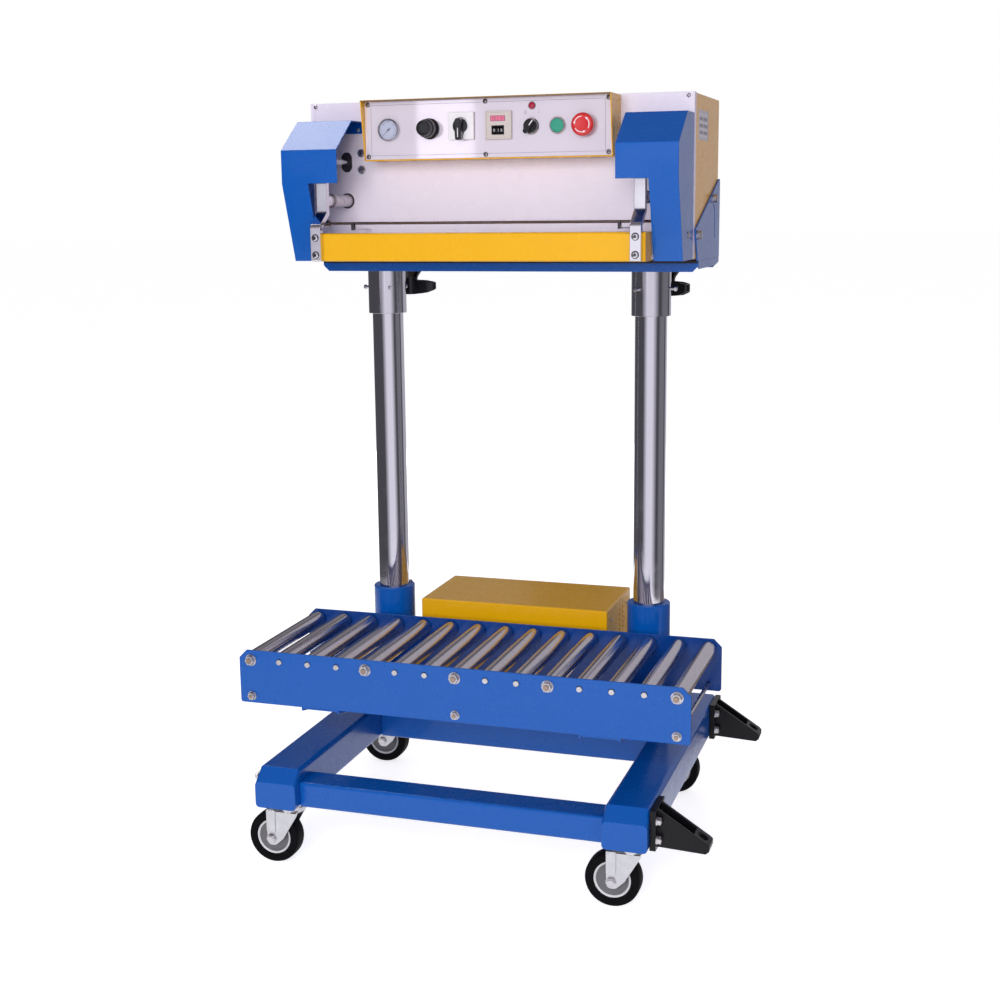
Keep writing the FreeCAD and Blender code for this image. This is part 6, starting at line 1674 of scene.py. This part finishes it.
@dataclass
class Studio:
    """Plain light, pale floor and a wall and cards that only metal and gloss see."""

    ambient: float = 0.37
    key: float = 136.0
    fill: float = 15.0
    back: float = 40.0
    floor_glow: float = 0.70
    floor_reach: float = 60.0
    tint: Colour = (0.93, 0.92, 1.0)
    dark: float = 0.10
    boxes: tuple[SoftBox, ...] = (
        SoftBox(-75.0, 18.0, 30.0, 1.05),
        SoftBox(12.0, 15.0, 15.0, 0.25),
        SoftBox(70.0, 20.0, 15.0, 0.60),
        SoftBox(115.0, 8.0, 8.0, 0.30))
    cards: tuple[tuple[str, Flat, Flat, Colour, float, float], ...] = (
        ("bright_card_before_panel", (-0.754, -1.639), (-0.598, -1.696), (1.50, 1.46, 1.56), 1.32, 2.3),
        ("dull_card_left_of_panel", (-1.10, -1.435), (-0.756, -1.638), (0.44, 0.41, 0.47), 1.32, 2.3),
        ("pale_card_before_left_arm", (-1.030, -1.500), (-0.880, -1.590), (0.78, 0.76, 0.84), 0.95, 1.31),
        ("bright_card_before_arm", (-0.200, -1.778), (0.010, -1.786), (1.20, 1.18, 1.26), 0.95, 1.31),
        ("dull_card_before_panel", (-0.598, -1.698), (0.046, -1.786), (0.54, 0.51, 0.58), 1.32, 2.3))

    def stops(self) -> list[Flat]:
        """Compass angles and levels of the wall: a dark room with its soft boxes."""
        found = [(-180.0, self.dark)]
        for box in self.boxes:
            found += [(box.middle - box.half - box.edge, self.dark), (box.middle - box.half, box.level),
                      (box.middle + box.half, box.level), (box.middle + box.half + box.edge, self.dark)]
        return found

    def world(self) -> None:
        """White where the camera, glass and metal look, and a softer sky for light."""
        world = bpy.data.worlds.new("studio")
        bpy.context.scene.world = world
        world.use_nodes = True
        tree = world.node_tree
        tree.nodes.clear()
        out = tree.nodes.new("ShaderNodeOutputWorld")
        path = tree.nodes.new("ShaderNodeLightPath")
        seen = tree.nodes.new("ShaderNodeBackground")
        seen.inputs["Color"].default_value = (1.0, 1.0, 1.0, 1.0)
        seen.inputs["Strength"].default_value = 1.0
        soft = tree.nodes.new("ShaderNodeBackground")
        soft.inputs["Color"].default_value = (*self.tint, 1.0)
        soft.inputs["Strength"].default_value = self.ambient
        sums = [tree.nodes.new("ShaderNodeMath") for _ in range(2)]
        for node in sums:
            node.operation = "MAXIMUM"
        tree.links.new(path.outputs["Is Camera Ray"], sums[0].inputs[0])
        tree.links.new(path.outputs["Is Glossy Ray"], sums[0].inputs[1])
        tree.links.new(sums[0].outputs[0], sums[1].inputs[0])
        tree.links.new(path.outputs["Is Transmission Ray"], sums[1].inputs[1])
        mix = tree.nodes.new("ShaderNodeMixShader")
        tree.links.new(sums[1].outputs[0], mix.inputs[0])
        tree.links.new(soft.outputs[0], mix.inputs[1])
        tree.links.new(seen.outputs[0], mix.inputs[2])
        tree.links.new(mix.outputs[0], out.inputs["Surface"])

    def area(self, name: str, place: Point, target: Point, size: Flat, power: float, tone: Colour) -> None:
        """Adds one soft area light that points at a target."""
        data = bpy.data.lights.new(name, "AREA")
        data.shape = "RECTANGLE"
        data.size, data.size_y = size
        data.energy = power
        data.color = tone
        lamp = bpy.data.objects.new(name, data)
        bpy.context.scene.collection.objects.link(lamp)
        lamp.visible_glossy = False
        lamp.location = place
        lamp.rotation_euler = (Vector(target) - Vector(place)).to_track_quat("-Z", "Y").to_euler()

    def hidden(self, name: str, points: Sequence[Point], faces: Sequence[Sequence[int]],
               lights: bool = False) -> tuple[bpy.types.Object, Graph]:
        """Adds a glowing sheet that the camera doesn't see and metal and gloss reflect.

        Args:
            name: its name.
            points: its corners in metres.
            faces: their order.
            lights: True where it also stands in the light of matt surfaces.

        Returns:
            The sheet and its black material, whose glow is still to be set.
        """
        mesh = bpy.data.meshes.new(name)
        mesh.from_pydata(list(points), [], list(faces))
        sheet = bpy.data.objects.new(name, mesh)
        bpy.context.scene.collection.objects.link(sheet)
        graph = Graph(name)
        graph.set(Base_Color=(0.0, 0.0, 0.0, 1.0), Specular_IOR_Level=0.0, Emission_Strength=1.0)
        mesh.materials.append(graph.material)
        sheet.visible_camera = False
        sheet.visible_diffuse = lights
        sheet.visible_shadow = False
        sheet.visible_transmission = False
        return sheet, graph

    def card(self, name: str, corners: Sequence[Point], tone: Colour, lights: bool = False) -> None:
        """Adds a card of even brightness between four corners."""
        graph = self.hidden(name, corners, [(0, 1, 2, 3)], lights)[1]
        graph.set(Emission_Color=(*tone, 1.0))

    def upright(self, name: str, start: Flat, end: Flat, tone: Colour, low: float = 0.0, high: float = 3.2,
                lights: bool = False) -> None:
        """Stands a card between two points of the floor."""
        corners = ((*start, low), (*end, low), (*end, high), (*start, high))
        self.card(name, corners, tone, lights)

    def ring(self, radius: float = 2.0, high: float = 2.6, steps: int = 96) -> None:
        """Stands a round wall with pale soft boxes at some compass angles."""
        points = []
        for k in range(steps):
            angle = math.tau * k / steps
            points += [(math.cos(angle) * radius, math.sin(angle) * radius, z) for z in (0.0, high)]
        count = 2 * steps
        faces = [(2 * k, (2 * k + 2) % count, (2 * k + 3) % count, 2 * k + 1) for k in range(steps)]
        sheet, graph = self.hidden("studio_wall", points, faces)
        sheet.location = at(0.0, 384.0, 0.0)
        compass = graph.tree.nodes.new("ShaderNodeTexGradient")
        compass.gradient_type = "RADIAL"
        graph.link(graph.where, "Object", compass, "Vector")
        ramp = graph.tree.nodes.new("ShaderNodeValToRGB")
        stops = ramp.color_ramp.elements
        stops.remove(stops[1])
        for index, (angle, level) in enumerate(self.stops()):
            place = angle / 360.0 + 0.5
            stop = stops[0] if index == 0 else stops.new(place)
            stop.position = place
            stop.color = (*(part * level for part in self.tint), 1.0)
        graph.link(compass, "Fac", ramp, "Fac")
        graph.link(ramp, "Color", graph.shader, "Emission Color")

    def floor(self) -> None:
        """Lays a pale floor that keeps the machine's shadow and is white to the camera."""
        mesh = bpy.data.meshes.new("floor")
        reach = self.floor_reach
        mesh.from_pydata([(-reach, -reach, 0.0), (reach, -reach, 0.0), (reach, reach, 0.0),
                          (-reach, reach, 0.0)],
                         [], [(0, 1, 2, 3)])
        floor = bpy.data.objects.new("floor", mesh)
        bpy.context.scene.collection.objects.link(floor)
        graph = Graph("floor_paper")
        graph.set(Base_Color=(0.86, 0.86, 0.87, 1.0), Roughness=0.95, Specular_IOR_Level=0.0,
                  Emission_Color=(1.0, 1.0, 1.0, 1.0))
        path = graph.tree.nodes.new("ShaderNodeLightPath")
        lift = graph.tree.nodes.new("ShaderNodeMath")
        lift.operation = "MAXIMUM"
        scale = graph.tree.nodes.new("ShaderNodeMath")
        scale.operation = "MULTIPLY"
        scale.inputs[1].default_value = self.floor_glow
        graph.link(path, "Is Camera Ray", lift, "Value")
        graph.tree.links.new(path.outputs["Is Glossy Ray"], lift.inputs[1])
        graph.tree.links.new(lift.outputs[0], scale.inputs[0])
        graph.tree.links.new(scale.outputs[0], graph.shader.inputs["Emission Strength"])
        mesh.materials.append(graph.material)

    def build(self) -> None:
        """Sets up world, lights, cards and floor."""
        self.world()
        self.floor()
        self.area("key_light", (0.2, -4.4, 1.85), (0.0, 0.0, 0.8), (2.6, 2.0), self.key, (1.0, 0.99, 0.98))
        self.area("fill_light", (3.4, -2.6, 1.8), (0.0, 0.0, 0.9), (2.0, 2.4), self.fill, (1.0, 0.98, 1.0))
        self.area("back_light", (-1.8, 4.4, 1.1), (0.0, 0.2, 0.9), (2.2, 2.0), self.back, (1.0, 0.98, 1.0))
        self.ring()
        self.upright("brown_card_right", (2.2, -1.5), (3.1, 0.0), (0.20, 0.13, 0.10), lights=True)
        self.upright("lavender_card_right", (3.1, 0.1), (0.6, 3.6), (0.46, 0.40, 0.50), lights=True)
        self.card("grey_ceiling", ((-2.1, -1.9, 2.6), (2.1, -1.9, 2.6), (2.1, 2.2, 2.6), (-2.1, 2.2, 2.6)),
                  (0.20, 0.175, 0.19))
        self.card("white_card_above_left", ((-1.65, -0.05, 2.5), (-0.62, -0.05, 2.5), (-0.62, 0.90, 2.5),
                                            (-1.65, 0.90, 2.5)), (6.4, 6.5, 6.8))
        self.card("grey_card_on_floor_right", ((0.52, -0.1, 0.002), (1.9, -0.1, 0.002), (1.9, 1.8, 0.002),
                                               (0.24, 1.8, 0.002)), (0.20, 0.16, 0.15))
        for name, start, end, tone, low, high in self.cards:
            self.upright(name, start, end, tone, low, high)


def main() -> None:
    logging.basicConfig(level=logging.INFO, format="%(name)s: %(message)s")
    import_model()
    bpy.context.scene.view_settings.view_transform = "Standard"
    PhotoCamera().build()
    Studio().build()
    trees = Trees()
    for assembly in (BaseFrame(trees), Columns(), RollerTable(trees), Casters(trees), PowerBox(trees),
                     Head(trees),
                     Levers(), Jaws(trees), Controls(trees)):
        assembly.build()
        LOG.info("%s done", type(assembly).__name__)


if __name__ == "__main__":
    main()
